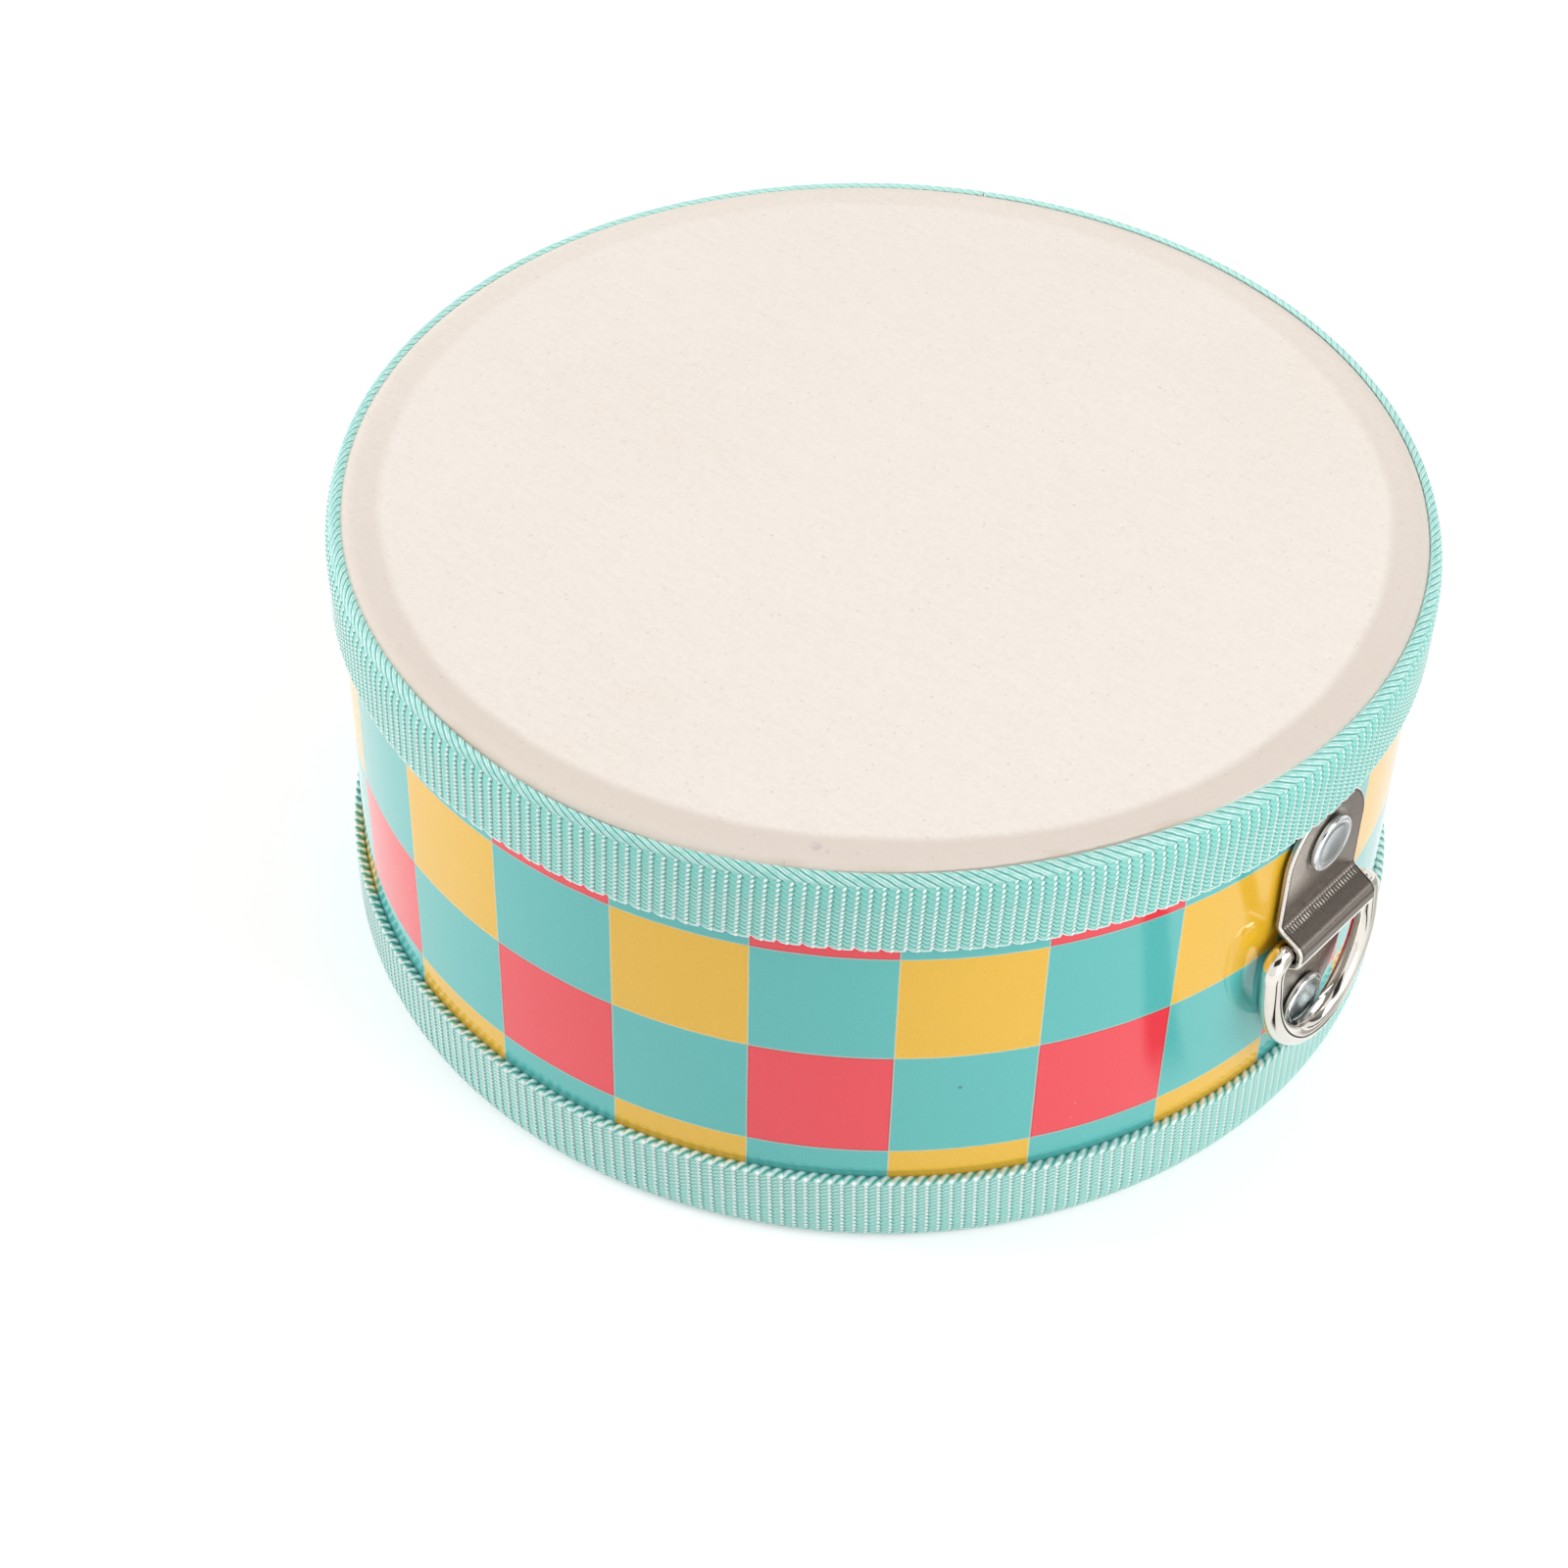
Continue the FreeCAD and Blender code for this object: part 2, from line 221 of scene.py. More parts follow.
class Shade:
    """Builds the nodes of a new material or world."""

    def __init__(self, name, owners=bpy.data.materials):
        self.owner = owners.new(name)
        self.owner.use_nodes = True
        self.tree = self.owner.node_tree
        self.tree.nodes.clear()
        self.place = self.add("TexCoord").outputs["Object"]

    def add(self, kind, inputs=(), **settings):
        """New node; an input is a plain value, a socket, a Value or a node for its first output."""
        made = self.tree.nodes.new("ShaderNode" + kind)
        for key, value in settings.items():
            setattr(made, key, value)
        for key, value in dict(inputs).items():
            if isinstance(value, bpy.types.Node):
                value = value.outputs[0]
            socket = getattr(value, "socket", value)
            if isinstance(socket, bpy.types.NodeSocket):
                self.tree.links.new(socket, made.inputs[key])
            else:
                made.inputs[key].default_value = value
        return made

    def value(self, kind, inputs, output=0, **settings):
        return Value(self, self.add(kind, inputs, **settings).outputs[output])

    def math(self, operation, *values):
        return self.value("Math", enumerate(values), operation=operation)

    def most(self, first, *others):
        for other in others:
            first = self.math("MAXIMUM", first, other)
        return first

    def zigzag(self, value):
        """0 at whole values, and up to 1 midway between them."""
        return self.math("PINGPONG", value, 0.5) * 2.0

    def mix(self, share, under, over, blend="MIX"):
        inputs = {0: share, 6: under, 7: over}
        return self.add("Mix", inputs, data_type="RGBA", blend_type=blend).outputs[2]

    def paint(self, share, *colour):
        """Lays a share of a display colour over the tone so far."""
        self.tone = self.mix(share, self.tone, srgb(*colour))

    def axes(self):
        return [Value(self, socket) for socket in self.add("SeparateXYZ", {0: self.place}).outputs]

    def noise(self, scale, detail=3.0, roughness=0.5, stretch=(1, 1, 1), turn=(0, 0, 0)):
        moved = self.add("Mapping", {"Vector": self.place, "Scale": stretch, "Rotation": turn})
        inputs = {"Vector": moved, "Scale": scale, "Detail": detail, "Roughness": roughness}
        return self.value("TexNoise", inputs, "Fac")

    def sway(self, size, scale, detail, roughness=0.5):
        """Noise about zero."""
        return (self.noise(scale, detail, roughness) - 0.5) * size

    def cells(self, scale):
        return self.value("TexVoronoi", {"Vector": self.place, "Scale": scale}, "Distance")

    def distance(self, radius, azimuth, z):
        """Distance in metres from a place given in millimetres and degrees."""
        spot = polar(radius * MM, math.radians(azimuth), z * MM)
        return self.value("VectorMath", {0: self.place, 1: tuple(spot)}, "Value", operation="DISTANCE")

    def toward_front(self):
        """Distance in metres from the axis towards azimuth -60, the side that the camera sees best."""
        x, y, _ = self.axes()
        return x * 0.5 - y * 0.866

    def ramp(self, value, low, high, to_low=0.0, to_high=1.0):
        inputs = {"Value": value, "From Min": low, "From Max": high, "To Min": to_low, "To Max": to_high}
        return self.value("MapRange", inputs, interpolation_type="SMOOTHSTEP")

    def fall(self, value, low, high, size=1.0):
        return self.ramp(value, low, high, size, 0.0)

    def attributes(self, *names):
        return [self.value("Attribute", {}, "Fac", attribute_name=name) for name in names]

    def bump(self, height, distance, strength):
        return self.add("Bump", {"Height": height, "Distance": distance, "Strength": strength})

    def show(self, shader, kind="Material"):
        self.add("Output" + kind, {"Surface": shader})

    def finish(self, **inputs):
        inputs = {key.replace("_", " "): value for key, value in inputs.items()}
        self.show(self.add("BsdfPrincipled", {"Base Color": self.tone, **inputs}))
        return self.owner


# Camera, in metres
PHOTO_CAMERA = (0.21433, -0.27279, 0.34355)
CAMERA_RIGHT = (0.75231, 0.65859, 0.01713)
CAMERA_DOWN = (0.46483, -0.51220, -0.72220)
CAMERA_AHEAD = (-0.46686, 0.55128, -0.69147)
LENS, SENSOR = 73.82, 36
NEAR_CLIP, FAR_CLIP = 0.01, 50


def make_camera():
    camera = new_object("camera", bpy.data.cameras.new("camera"))
    camera.data.lens = LENS
    camera.data.sensor_width = SENSOR
    camera.data.clip_start, camera.data.clip_end = NEAR_CLIP, FAR_CLIP
    right, down, ahead = (Vector(v).normalized() for v in (CAMERA_RIGHT, CAMERA_DOWN, CAMERA_AHEAD))
    turn = Matrix((right, -down, -ahead)).transposed()
    camera.matrix_world = Matrix.Translation(PHOTO_CAMERA) @ turn.to_4x4()
    bpy.context.scene.camera = camera


# Light and stage, in metres and watts
# name, azimuth, elevation, distance, size, power
LAMPS = (("right", 15, 40, 1.1, (0.6, 0.6), 5.0),
         ("left", -150, 20, 1.1, (0.6, 0.6), 8.3),
         ("front", -15, 12, 1.1, (0.8, 0.5), 2.7),
         ("top", 100, 62, 1.3, (0.9, 0.9), 1.8))
# name, azimuth, elevation, distance, size, tones of its near and far ends
AIR_CARDS = (("right_card", 60, 46, 0.9, (0.80, 0.66), (0.08, 0.42)),
             ("low_card", 28, 7, 1.0, (1.50, 0.13), (0.01, 0.02)),
             ("front_card", -48, 48, 1.0, (0.90, 0.50), (0.03, 0.05)))
# name, place, size, tones, widths of the soft edges
FLOOR_CARDS = (("floor_card", (0.29, 0.106, 0.0003), (0.40, 0.188), (0.44, 0.66), (0.016, 0.04)),
               ("near_strip", (0.115, -0.016, 0.0005), (0.060, 0.013), (0.01, 0.02), (0.01, 0.004)),
               ("far_strip", (0.105, 0.018, 0.0005), (0.045, 0.009), (0.02, 0.03), (0.01, 0.003)))
SOFT_EDGES = (0.02, 0.02)
WARM_GREEN, WARM_BLUE = 0.94, 0.88  # share of a card's red
WORLD_LIGHT = 0.42  # what the white surroundings give to surfaces
FLOOR_GLOW = 0.36
FLOOR_HALF = 3000  # in millimetres
MIDDLE = Vector((0, 0, HEIGHT / 2 * MM))


def way_to(azimuth, elevation):
    """Direction from the drum, with azimuth in degrees from +X about Z."""
    a, e = math.radians(azimuth), math.radians(elevation)
    return Vector((math.cos(a) * math.cos(e), math.sin(a) * math.cos(e), math.sin(e)))


def soft_lamp(name, azimuth, elevation, distance, size, power):
    """Square lamp that faces the drum's middle."""
    lamp = new_object(name, bpy.data.lights.new(name, "AREA"))
    lamp.data.shape = "RECTANGLE"
    lamp.data.size, lamp.data.size_y = size
    lamp.data.energy = power
    way = way_to(azimuth, elevation)
    lamp.location = MIDDLE + way * distance
    lamp.rotation_mode = "QUATERNION"
    lamp.rotation_quaternion = (-way).to_track_quat("-Z", "Y")


def mirror_card(name, place, facing, size, tones, soft):
    """Card that only mirror rays see, as a part of the studio that metal reflects."""
    card = make_sheet(name, size[0] / 2 / MM, size[1] / 2 / MM)
    card.rotation_mode = "QUATERNION"
    if facing is not None:
        card.rotation_quaternion = facing.to_track_quat("Z", "Y")
    card.location = place
    shade = Shade(name)
    across, run, _ = shade.axes()
    share = shade.ramp(run, -size[1] / 2, size[1] / 2)
    near_tone, far_tone = [(tone, tone * WARM_GREEN, tone * WARM_BLUE, 1) for tone in tones]
    glow = shade.add("Emission", {"Color": shade.mix(share, near_tone, far_tone), "Strength": 1.0})
    clear = shade.add("BsdfTransparent")
    sides = [shade.fall(abs(value), length / 2 - fade, length / 2)
             for value, length, fade in zip((across, run), size, soft)]
    both = shade.add("MixShader", {0: sides[0] * sides[1], 1: clear, 2: glow})
    shade.show(both)
    card.data.materials.append(shade.owner)
    card.visible_camera = card.visible_diffuse = card.visible_shadow = False


def make_world():
    """White to the camera and in mirrors, and dimmer as a light."""
    world = Shade("studio", bpy.data.worlds)
    bpy.context.scene.world = world.owner
    path = world.add("LightPath").outputs
    shown = world.most(path["Is Camera Ray"], path["Is Glossy Ray"], path["Is Transmission Ray"])
    level = world.add("MapRange", {"Value": shown, "To Min": WORLD_LIGHT, "To Max": 1.0})
    back = world.add("Background", {"Color": (1, 1, 1, 1), "Strength": level})
    world.show(back, "World")


def make_floor():
    floor = make_sheet("floor", FLOOR_HALF, FLOOR_HALF)
    shade = Shade("floor_white")
    path = shade.add("LightPath").outputs
    shown = shade.most(path["Is Camera Ray"], path["Is Glossy Ray"])
    base = shade.add("BsdfDiffuse", {"Color": (0.8, 0.8, 0.8, 1)})
    strength = shown * FLOOR_GLOW
    glow = shade.add("Emission", {"Color": (1, 1, 1, 1), "Strength": strength})
    both = shade.add("AddShader", {0: base, 1: glow})
    shade.show(both)
    floor.data.materials.append(shade.owner)


def make_stage():
    bpy.context.scene.view_settings.view_transform = "Standard"
    make_world()
    make_floor()
    for lamp in LAMPS:
        soft_lamp(*lamp)
    for name, azimuth, elevation, distance, size, tones in AIR_CARDS:
        way = way_to(azimuth, elevation)
        mirror_card(name, MIDDLE + way * distance, way, size, tones, SOFT_EDGES)
    for name, place, size, tones, soft in FLOOR_CARDS:
        mirror_card(name, Vector(place), None, size, tones, soft)


make_camera()
make_stage()


# Printed film
CELLS_AZ = 14.43  # width of a cell in degrees
CELLS_START = -48.1  # azimuth of one vertical line
ROWS_Z = (53.8, 35.5, 17.2)
YELLOW, TEAL, RED = srgb(240, 188, 44), srgb(88, 190, 186), srgb(242, 58, 72)
LINE_WIDTH = 0.2
DOT_AZ, DOT_Z = -41.4, 29.4  # a speck of dirt under the film
FILM_SUNK = 0.02
RIPPLE, SLOW_RIPPLE = 0.022, 0.010
RIPPLE_FADE = 6  # width beside each edge where the ripples die away


def film_material():
    shade = Shade("check_film")
    x, y, z = shade.axes()
    wobble = shade.noise(260, 2) - 0.5
    turned = math.radians(SEAM_AZ - 180)  # the seam is where the angle wraps round
    cosine, sine = math.cos(turned), math.sin(turned)
    along = x * cosine + y * sine
    across = y * cosine - x * sine
    angle = shade.math("ARCTAN2", across, along)
    step = math.radians(CELLS_AZ)
    column = shade.math("DIVIDE", angle + math.radians(SEAM_AZ - 180 - CELLS_START), step)
    column = column + wobble * 0.006
    height = z + wobble * 0.00012
    odd = shade.math("FLOORED_MODULO", shade.math("FLOOR", column), 2.0)
    even = 1.0 - odd
    over = [shade.math("GREATER_THAN", height, level * MM) for level in ROWS_Z]
    red = odd * (over[0] + (over[2] - over[1]))
    yellow = even * (over[1] - over[0] + (1.0 - over[2]))
    shade.tone = shade.mix(yellow, shade.mix(red, TEAL, RED), YELLOW)
    near = shade.math("PINGPONG", column, 0.5) * (step * WRAP_R * MM)
    for level in ROWS_Z:
        near = shade.math("MINIMUM", near, abs(height - level * MM))
    line = shade.fall(near, LINE_WIDTH * 0.3 * MM, LINE_WIDTH * 0.75 * MM)
    overprint = shade.fall(near, LINE_WIDTH * 0.9 * MM, LINE_WIDTH * 1.7 * MM, 0.40)
    shade.paint(overprint * red, 120, 20, 30)
    shade.paint(line * 0.40, 226, 222, 206)
    # painted shade: the film darkens just above the lower band
    band_shade = shade.ramp(z - BAND_EDGE * MM, 0.75 * MM, 1.05 * MM, 0.74, 1.0)
    grain = shade.ramp(shade.noise(4200, 2, 0.6), 0.3, 0.7, 0.955, 1.045)
    drift = shade.ramp(shade.noise(24, 2), 0.3, 0.7, 0.985, 1.015)
    value = grain * drift * band_shade
    grey = shade.add("CombineColor", {"Red": value, "Green": value, "Blue": value})
    shade.tone = shade.mix(1.0, shade.tone, grey, "MULTIPLY")
    dots = shade.fall(shade.cells(520.0), 0.03, 0.07)
    rare = shade.math("GREATER_THAN", shade.noise(90, 1), 0.66)
    shade.paint(dots * rare * 0.35, 250, 240, 230)
    speck = shade.fall(shade.distance(WRAP_R, DOT_AZ, DOT_Z), 0.18 * MM, 0.42 * MM, 0.6)
    shade.paint(speck, 40, 84, 84)
    normal = shade.bump(shade.noise(420, 2), 0.00003, 0.5)
    return shade.finish(Roughness=0.45, Specular_IOR_Level=0.12, Coat_Weight=1.0, Coat_Roughness=0.035,
                        Coat_Normal=normal)


def make_film():
    columns, rows = 900, 40
    gap = FILM_SEAM / 2 / WRAP_R
    seam = math.radians(SEAM_AZ)
    azimuth, z = np.meshgrid(np.linspace(seam + gap, seam - gap + 2 * math.pi, columns),
                             np.linspace(WRAP_LOW, WRAP_HIGH, rows), indexing="ij")
    slow = np.sin(z * 0.21 + 3.0 * waves(azimuth, 5, 6, 3, 19))
    ripple = RIPPLE * waves(azimuth, 3, 9, 2, 26) + SLOW_RIPPLE * slow
    ripple = ripple * np.clip(np.minimum(z - WRAP_LOW, WRAP_HIGH - z) / RIPPLE_FADE, 0, 1)
    outer = polar(WRAP_R - FILM_SUNK + ripple, azimuth, z)
    inner = polar(WRAP_R - FILM, azimuth[:, ::-1], z[:, ::-1])
    film = make_object("check_film", *tube(np.concatenate([outer, inner], 1)))
    finish_piece(film, film_material(), "drum", "wrap")


make_film()


# Heads
SMUDGES = ((-56.8, 70.8, 1.1, 0.32), (-55.6, 71.5, 0.5, 0.22))  # azimuth, radius, size, strength
HEAD_COLUMNS = 480
FLAT_SPLIT = 60  # radius from which the flat's rows are closer
SLACK_REACH = 4.0  # from the shell's wall inwards, over which the hide sinks
SLACK, SLACK_WAVE, UNEVEN = 0.05, 0.02, 0.012
TIP_R = WRAP_R - 0.2
TIP_ROLL = 0.32  # rounding at the webbing's outer selvage
# where the webbing's hand-laid tip strays from its circle: azimuth and width in degrees, and stray
TIP_STRAYS = ((-78, 15, 0.75), (-27, 22, -0.6), (-140, 32, -0.3), (150, 30, -0.2), (90, 26, 0.12))
LOWER_STRAY = 0.3


def tip_stray(azimuth, top):
    if not top:
        return LOWER_STRAY * waves(azimuth, 35, 5, 1, 7)
    turns = np.degrees(azimuth)
    return sum(by * np.exp(-(((turns - at + 180) % 360 - 180) / wide) ** 2) for at, wide, by in TIP_STRAYS)


def hide_material():
    shade = Shade("dry_hide")
    x, y, _ = shade.axes()
    radius = shade.math("SQRT", x * x + y * y)
    edge = radius + shade.sway(0.0020, 34, 3)
    wall = WRAP_R - SHELL_WALL
    over_wood = shade.ramp(edge, (wall - 1.1) * MM, (wall + 0.7) * MM)
    # over the wood the hide is darker than in the middle; lighter towards the far side and darker in front
    # is painted light
    lit_far_side = shade.ramp(y - x, -0.09, 0.09)
    wood_tone_lit = shade.mix(lit_far_side, srgb(229, 217, 207), srgb(243, 234, 225))
    shade.tone = shade.mix(over_wood, srgb(248, 240, 232), wood_tone_lit)
    blotch = shade.ramp(shade.noise(22, 4, 0.55), 0.35, 0.7)
    shade.paint(blotch * 0.16, 236, 222, 206)
    fibres = [shade.noise(150 + 25 * index, 3, 0.65, (1, 9, 1), (0, 0, turn))
              for index, turn in enumerate((0.3, 1.25, 2.2, 2.9))]
    fibre = (fibres[0] + fibres[1] + (fibres[2] + fibres[3])) * 0.25
    fibre_light = shade.ramp(fibre, 0.42, 0.58)
    shade.paint(fibre_light * 0.10, 226, 206, 188)
    fine = shade.ramp(shade.noise(1900, 2, 0.6), 0.35, 0.7, 0.0, 0.14)
    shade.paint(fine, 214, 196, 182)
    pores = shade.fall(shade.cells(800.0), 0.10, 0.24)
    rare = shade.ramp(shade.noise(420, 2), 0.52, 0.62)
    shade.paint(pores * rare * 0.20, 176, 146, 136)
    for azimuth, mark, size, strength in SMUDGES:
        reach = shade.distance(mark, azimuth, HEIGHT)
        patch = shade.fall(reach, size * 0.4 * MM, size * MM, strength)
        patch = patch * shade.ramp(shade.noise(900, 2), 0.35, 0.6, 0.4, 1.0)
        shade.paint(patch, 176, 150, 156)
    # in front, a painted contact shadow in a thin line beside the webbing's tip, and patchy brown darkening
    # a little further in
    tip, = shade.attributes("tip")
    to_tip = tip * MM - radius
    to_tip = to_tip + shade.sway(0.00016, 500, 2)
    tip_contact_shade = shade.fall(abs(to_tip - 0.12 * MM), 0.10 * MM, 0.30 * MM, 0.55)
    near_side = shade.ramp(shade.toward_front(), 0.048, 0.062)
    shade.paint(tip_contact_shade * near_side, 128, 130, 116)
    brown_near_tip = shade.fall(to_tip, 0.2 * MM, 1.6 * MM) * shade.ramp(shade.noise(130), 0.48, 0.66, 0.0, 0.35)
    shade.paint(brown_near_tip * near_side, 190, 170, 140)
    # away from the front, a painted highlight as from light behind: the hide is bright where it bends down
    # under the tip
    painted_highlight = shade.fall(to_tip, 0.05 * MM, 0.45 * MM, 0.8)
    shade.paint(painted_highlight * (1.0 - near_side), 255, 253, 238)
    height = fibre + shade.noise(700, 3, 0.6) * 0.5
    normal = shade.bump(height, 0.00006, 0.6)
    rough = shade.ramp(fibre, 0.4, 0.6, 0.62, 0.72)
    return shade.finish(Roughness=rough, Specular_IOR_Level=0.15, Normal=normal, Sheen_Weight=0.05)


def hide_profile():
    """Outer and inner lines of a head as radius and depth below the head's face."""
    flat = np.concatenate([np.linspace(0, FLAT_SPLIT, 31)[1:], np.linspace(FLAT_SPLIT, BEND_R, 26)[1:]])
    outer = [(r, 0.0) for r in flat]
    for a in np.radians(np.linspace(0, 90, 13)[1:]):
        outer.append((BEND_R + BEND_DEPTH * math.sin(a), BEND_DEPTH * (1 - math.cos(a))))
    outer.append((SKIRT_R + HIDE, SKIRT_DEPTH))
    inner = [(SKIRT_R, SKIRT_DEPTH)]
    for a in np.radians(np.linspace(90, 0, 9)):
        inner.append((BEND_R + HIDE_BEND * math.sin(a), BEND_DEPTH - HIDE_BEND * math.cos(a)))
    inner += [(r, HIDE) for r in flat[::-1][1::4]]
    return np.array(outer + inner)


def make_head(name, top, material, node):
    line = hide_profile()
    radius, depth = line[None, :, 0], line[None, :, 1]
    azimuth = np.linspace(0, 2 * math.pi, HEAD_COLUMNS, endpoint=False)[:, None]
    slack = np.clip((WRAP_R - SHELL_WALL - radius) / SLACK_REACH, 0, 1)
    slack = slack * slack * (3 - 2 * slack)
    seed = 11 if top else 12
    dish = SLACK + SLACK_WAVE * waves(azimuth + radius * 0.05, seed, 5, 1, 5)
    swell = np.where(radius > BEND_R * 0.97, 0.0, 1.0)
    uneven = UNEVEN * waves(azimuth + radius * 0.11, seed + 5, 8, 3, 17) * swell
    depth = depth + (slack * dish + np.abs(uneven))
    z = HEIGHT - depth if top else depth
    ring = polar(radius, azimuth, z)
    nv = len(line)
    middle = [[0, 0, float(z[:, 0].mean())], [0, 0, float(z[:, -1].mean())]]
    count = HEAD_COLUMNS * nv
    i = np.arange(HEAD_COLUMNS)
    beside = (i + 1) % HEAD_COLUMNS
    outer_fan = np.stack([beside * nv, np.full_like(i, count), i * nv], -1)
    inner_fan = np.stack([np.full_like(i, count + 1), beside * nv + nv - 1, i * nv + nv - 1], -1)
    faces = [grid_quads(HEAD_COLUMNS, nv, wrap_u=True)[:, ::-1], inner_fan, outer_fan]
    if not top:
        faces = turned_round(faces)
    tip = TIP_R - TIP_ROLL + tip_stray(azimuth, top) + 0 * radius
    verts = np.concatenate([ring.reshape(-1, 3), middle])
    head = make_object(name, verts, faces, tip=np.append(tip, [TIP_R, TIP_R]))
    finish_piece(head, material, "drum", node)


hide = hide_material()
make_head("skin_top", True, hide, "head_top")
make_head("skin_bottom", False, hide, "head_bottom")


# Woven bands
RIBS = 296
LEAN_HEIGHT = 3.36
BAND_SETBACK = 0.35
EDGE_RADIUS = 0.5  # outer corner of the inner selvage
BODY_RELIEF, BEAD_RELIEF = 0.12, 0.13
STRAND_RELIEF = (0.09, 0.16)
CREST_OUT = 0.04  # of the highest loops, over the band's outer line
TIP_LIFT = 0.10  # the weave rises by this towards the tip
BEAD_AT = 0.80  # place of the column of beads in a rib
LEDGE_DEPTH = 5.2  # below the head's face, where the loops change from coarse to fine
FINE_PITCH, COARSE_PITCH = 0.69, 0.77
STRAND_LENGTH = 1.6  # diagonal strands that end the ribs at the tip
STRAND_LOBE = 0.9  # from the strands' start to where their rounded ends begin
RIB_COLUMNS = (0.0, 0.12, 0.38, 0.64, 0.80, 0.92)
LEAN_AT_TIP = 1.8  # ribs that a strand passes on its way to the tip
NOTCH_DEPTH = {"top": 0.34, "bottom": 0.18}  # between the weft's hooks on the inner selvage
NOTCH_WIDTH = {"top": 0.22, "bottom": 0.4}
HEM_REACH = 1.2


def band_profile():
    """Outer line of a band, from the wrap round its inner selvage and over to its tip."""
    points = [(SKIRT_R + 0.02, BAND_EDGE), (BAND_R - EDGE_RADIUS, BAND_EDGE)]
    for a in np.radians(np.linspace(90, 0, 9)[1:]):
        points.append((BAND_R - EDGE_RADIUS + EDGE_RADIUS * math.cos(a),
                       BAND_EDGE - EDGE_RADIUS + EDGE_RADIUS * math.sin(a)))
    reach = BAND_R - TIP_R
    for a in np.linspace(0, math.pi / 2, 121):
        points.append((TIP_R + reach * math.cos(a), BAND_SETBACK + LEAN_HEIGHT * (1 - math.sin(a))))
    for a in np.radians(np.linspace(90, 180, 9)[1:]):
        points.append((TIP_R + TIP_ROLL * math.cos(a), BAND_SETBACK + TIP_ROLL - TIP_ROLL * math.sin(a)))
    points = np.array(points)
    steps = np.hypot(*np.diff(points, axis=0).T)
    return np.concatenate([[0], np.cumsum(steps)]), points[:, 0], points[:, 1]


PROFILE_S, PROFILE_R, PROFILE_D = band_profile()
EDGE_START = BAND_R - EDGE_RADIUS - SKIRT_R  # end face, before the corner's rounding
EDGE_LENGTH = EDGE_START + EDGE_RADIUS * math.pi / 2
TIP_START = PROFILE_S[-1] - TIP_ROLL * math.pi / 2
LEDGE = EDGE_LENGTH + BAND_EDGE - EDGE_RADIUS - LEDGE_DEPTH
STRAND_START = TIP_START - STRAND_LENGTH


def on_profile(s):
    """Radius, depth and outward normal (in radius and depth) at lengths s along the profile."""
    step = 0.03
    before, after = np.maximum(s - step, 0), np.minimum(s + step, PROFILE_S[-1])
    dr = np.interp(after, PROFILE_S, PROFILE_R) - np.interp(before, PROFILE_S, PROFILE_R)
    dd = np.interp(after, PROFILE_S, PROFILE_D) - np.interp(before, PROFILE_S, PROFILE_D)
    length = np.maximum(np.hypot(dr, dd), 1e-9)
    return np.interp(s, PROFILE_S, PROFILE_R), np.interp(s, PROFILE_S, PROFILE_D), -dd / length, dr / length


def under_line(depth):
    """Radius of what lies under the band at a depth: the hide's bend, its skirt or the wrap."""
    rise = np.clip(BEND_DEPTH - depth, 0, BEND_DEPTH)
    bend = BEND_R + np.sqrt(np.maximum((BEND_DEPTH + LAY_GAP) ** 2 - rise ** 2, 0))
    skirt = np.where(depth > SKIRT_DEPTH + LAY_GAP, SKIRT_R, SKIRT_R + HIDE + LAY_GAP)
    return np.where(depth < BEND_DEPTH, bend, skirt)


def band_rows(part):
    """Lengths along the profile of a piece's rows of vertices, and depths of its underside."""
    if part == "face":
        edge = [0.0, EDGE_START * 0.5, EDGE_START * 0.85]
        corner = list(np.linspace(EDGE_START, EDGE_LENGTH, 6))
        field = list(np.arange(EDGE_LENGTH, LEDGE, FINE_PITCH / 4)[1:]) + [LEDGE]
        return np.array(edge + corner + field), np.array([LEDGE_DEPTH, SKIRT_DEPTH, SKIRT_DEPTH + 0.1])
    field = list(np.arange(LEDGE, STRAND_START, COARSE_PITCH / 4))
    strands = list(np.linspace(STRAND_START, TIP_START, 13))
    roll = list(np.linspace(TIP_START, PROFILE_S[-1], 6)[1:])
    return np.array(field + strands + roll), np.linspace(BAND_SETBACK + 0.55, LEDGE_DEPTH, 6)


def loop_phase(u, s):
    """Phase of the stacked loops; neighbouring ribs interlock by half a loop."""
    pitch = np.where(s < LEDGE, FINE_PITCH, COARSE_PITCH)
    return (s - LEDGE) / pitch + 0.5 * (np.floor(u) % 2)


def band_relief(u, s):
    """Height of the weave above its ground."""
    across = (u % 1.0) * 2 - 1
    beside = np.abs((u - BEAD_AT + 0.5) % 1.0 - 0.5)
    loop = 0.5 - 0.5 * np.cos(2 * math.pi * loop_phase(u, s))
    bead = np.exp(-(beside / 0.12) ** 2) * (0.4 + 0.6 * loop)
    ribbed = BODY_RELIEF * (1 - np.abs(across) ** 5) + BEAD_RELIEF * bead
    share = (s - STRAND_START) / STRAND_LENGTH
    strand = np.abs(np.sin(math.pi * (u + LEAN_AT_TIP * share)))
    woven = STRAND_RELIEF[0] + STRAND_RELIEF[1] * strand ** 0.8
    blend = np.clip(share * 6 + 0.5, 0, 1)
    relief = ribbed * (1 - blend) + woven * blend
    start = np.clip((s - EDGE_START * 0.6) / 0.8, 0, 1)
    return relief * start * (2 - start)


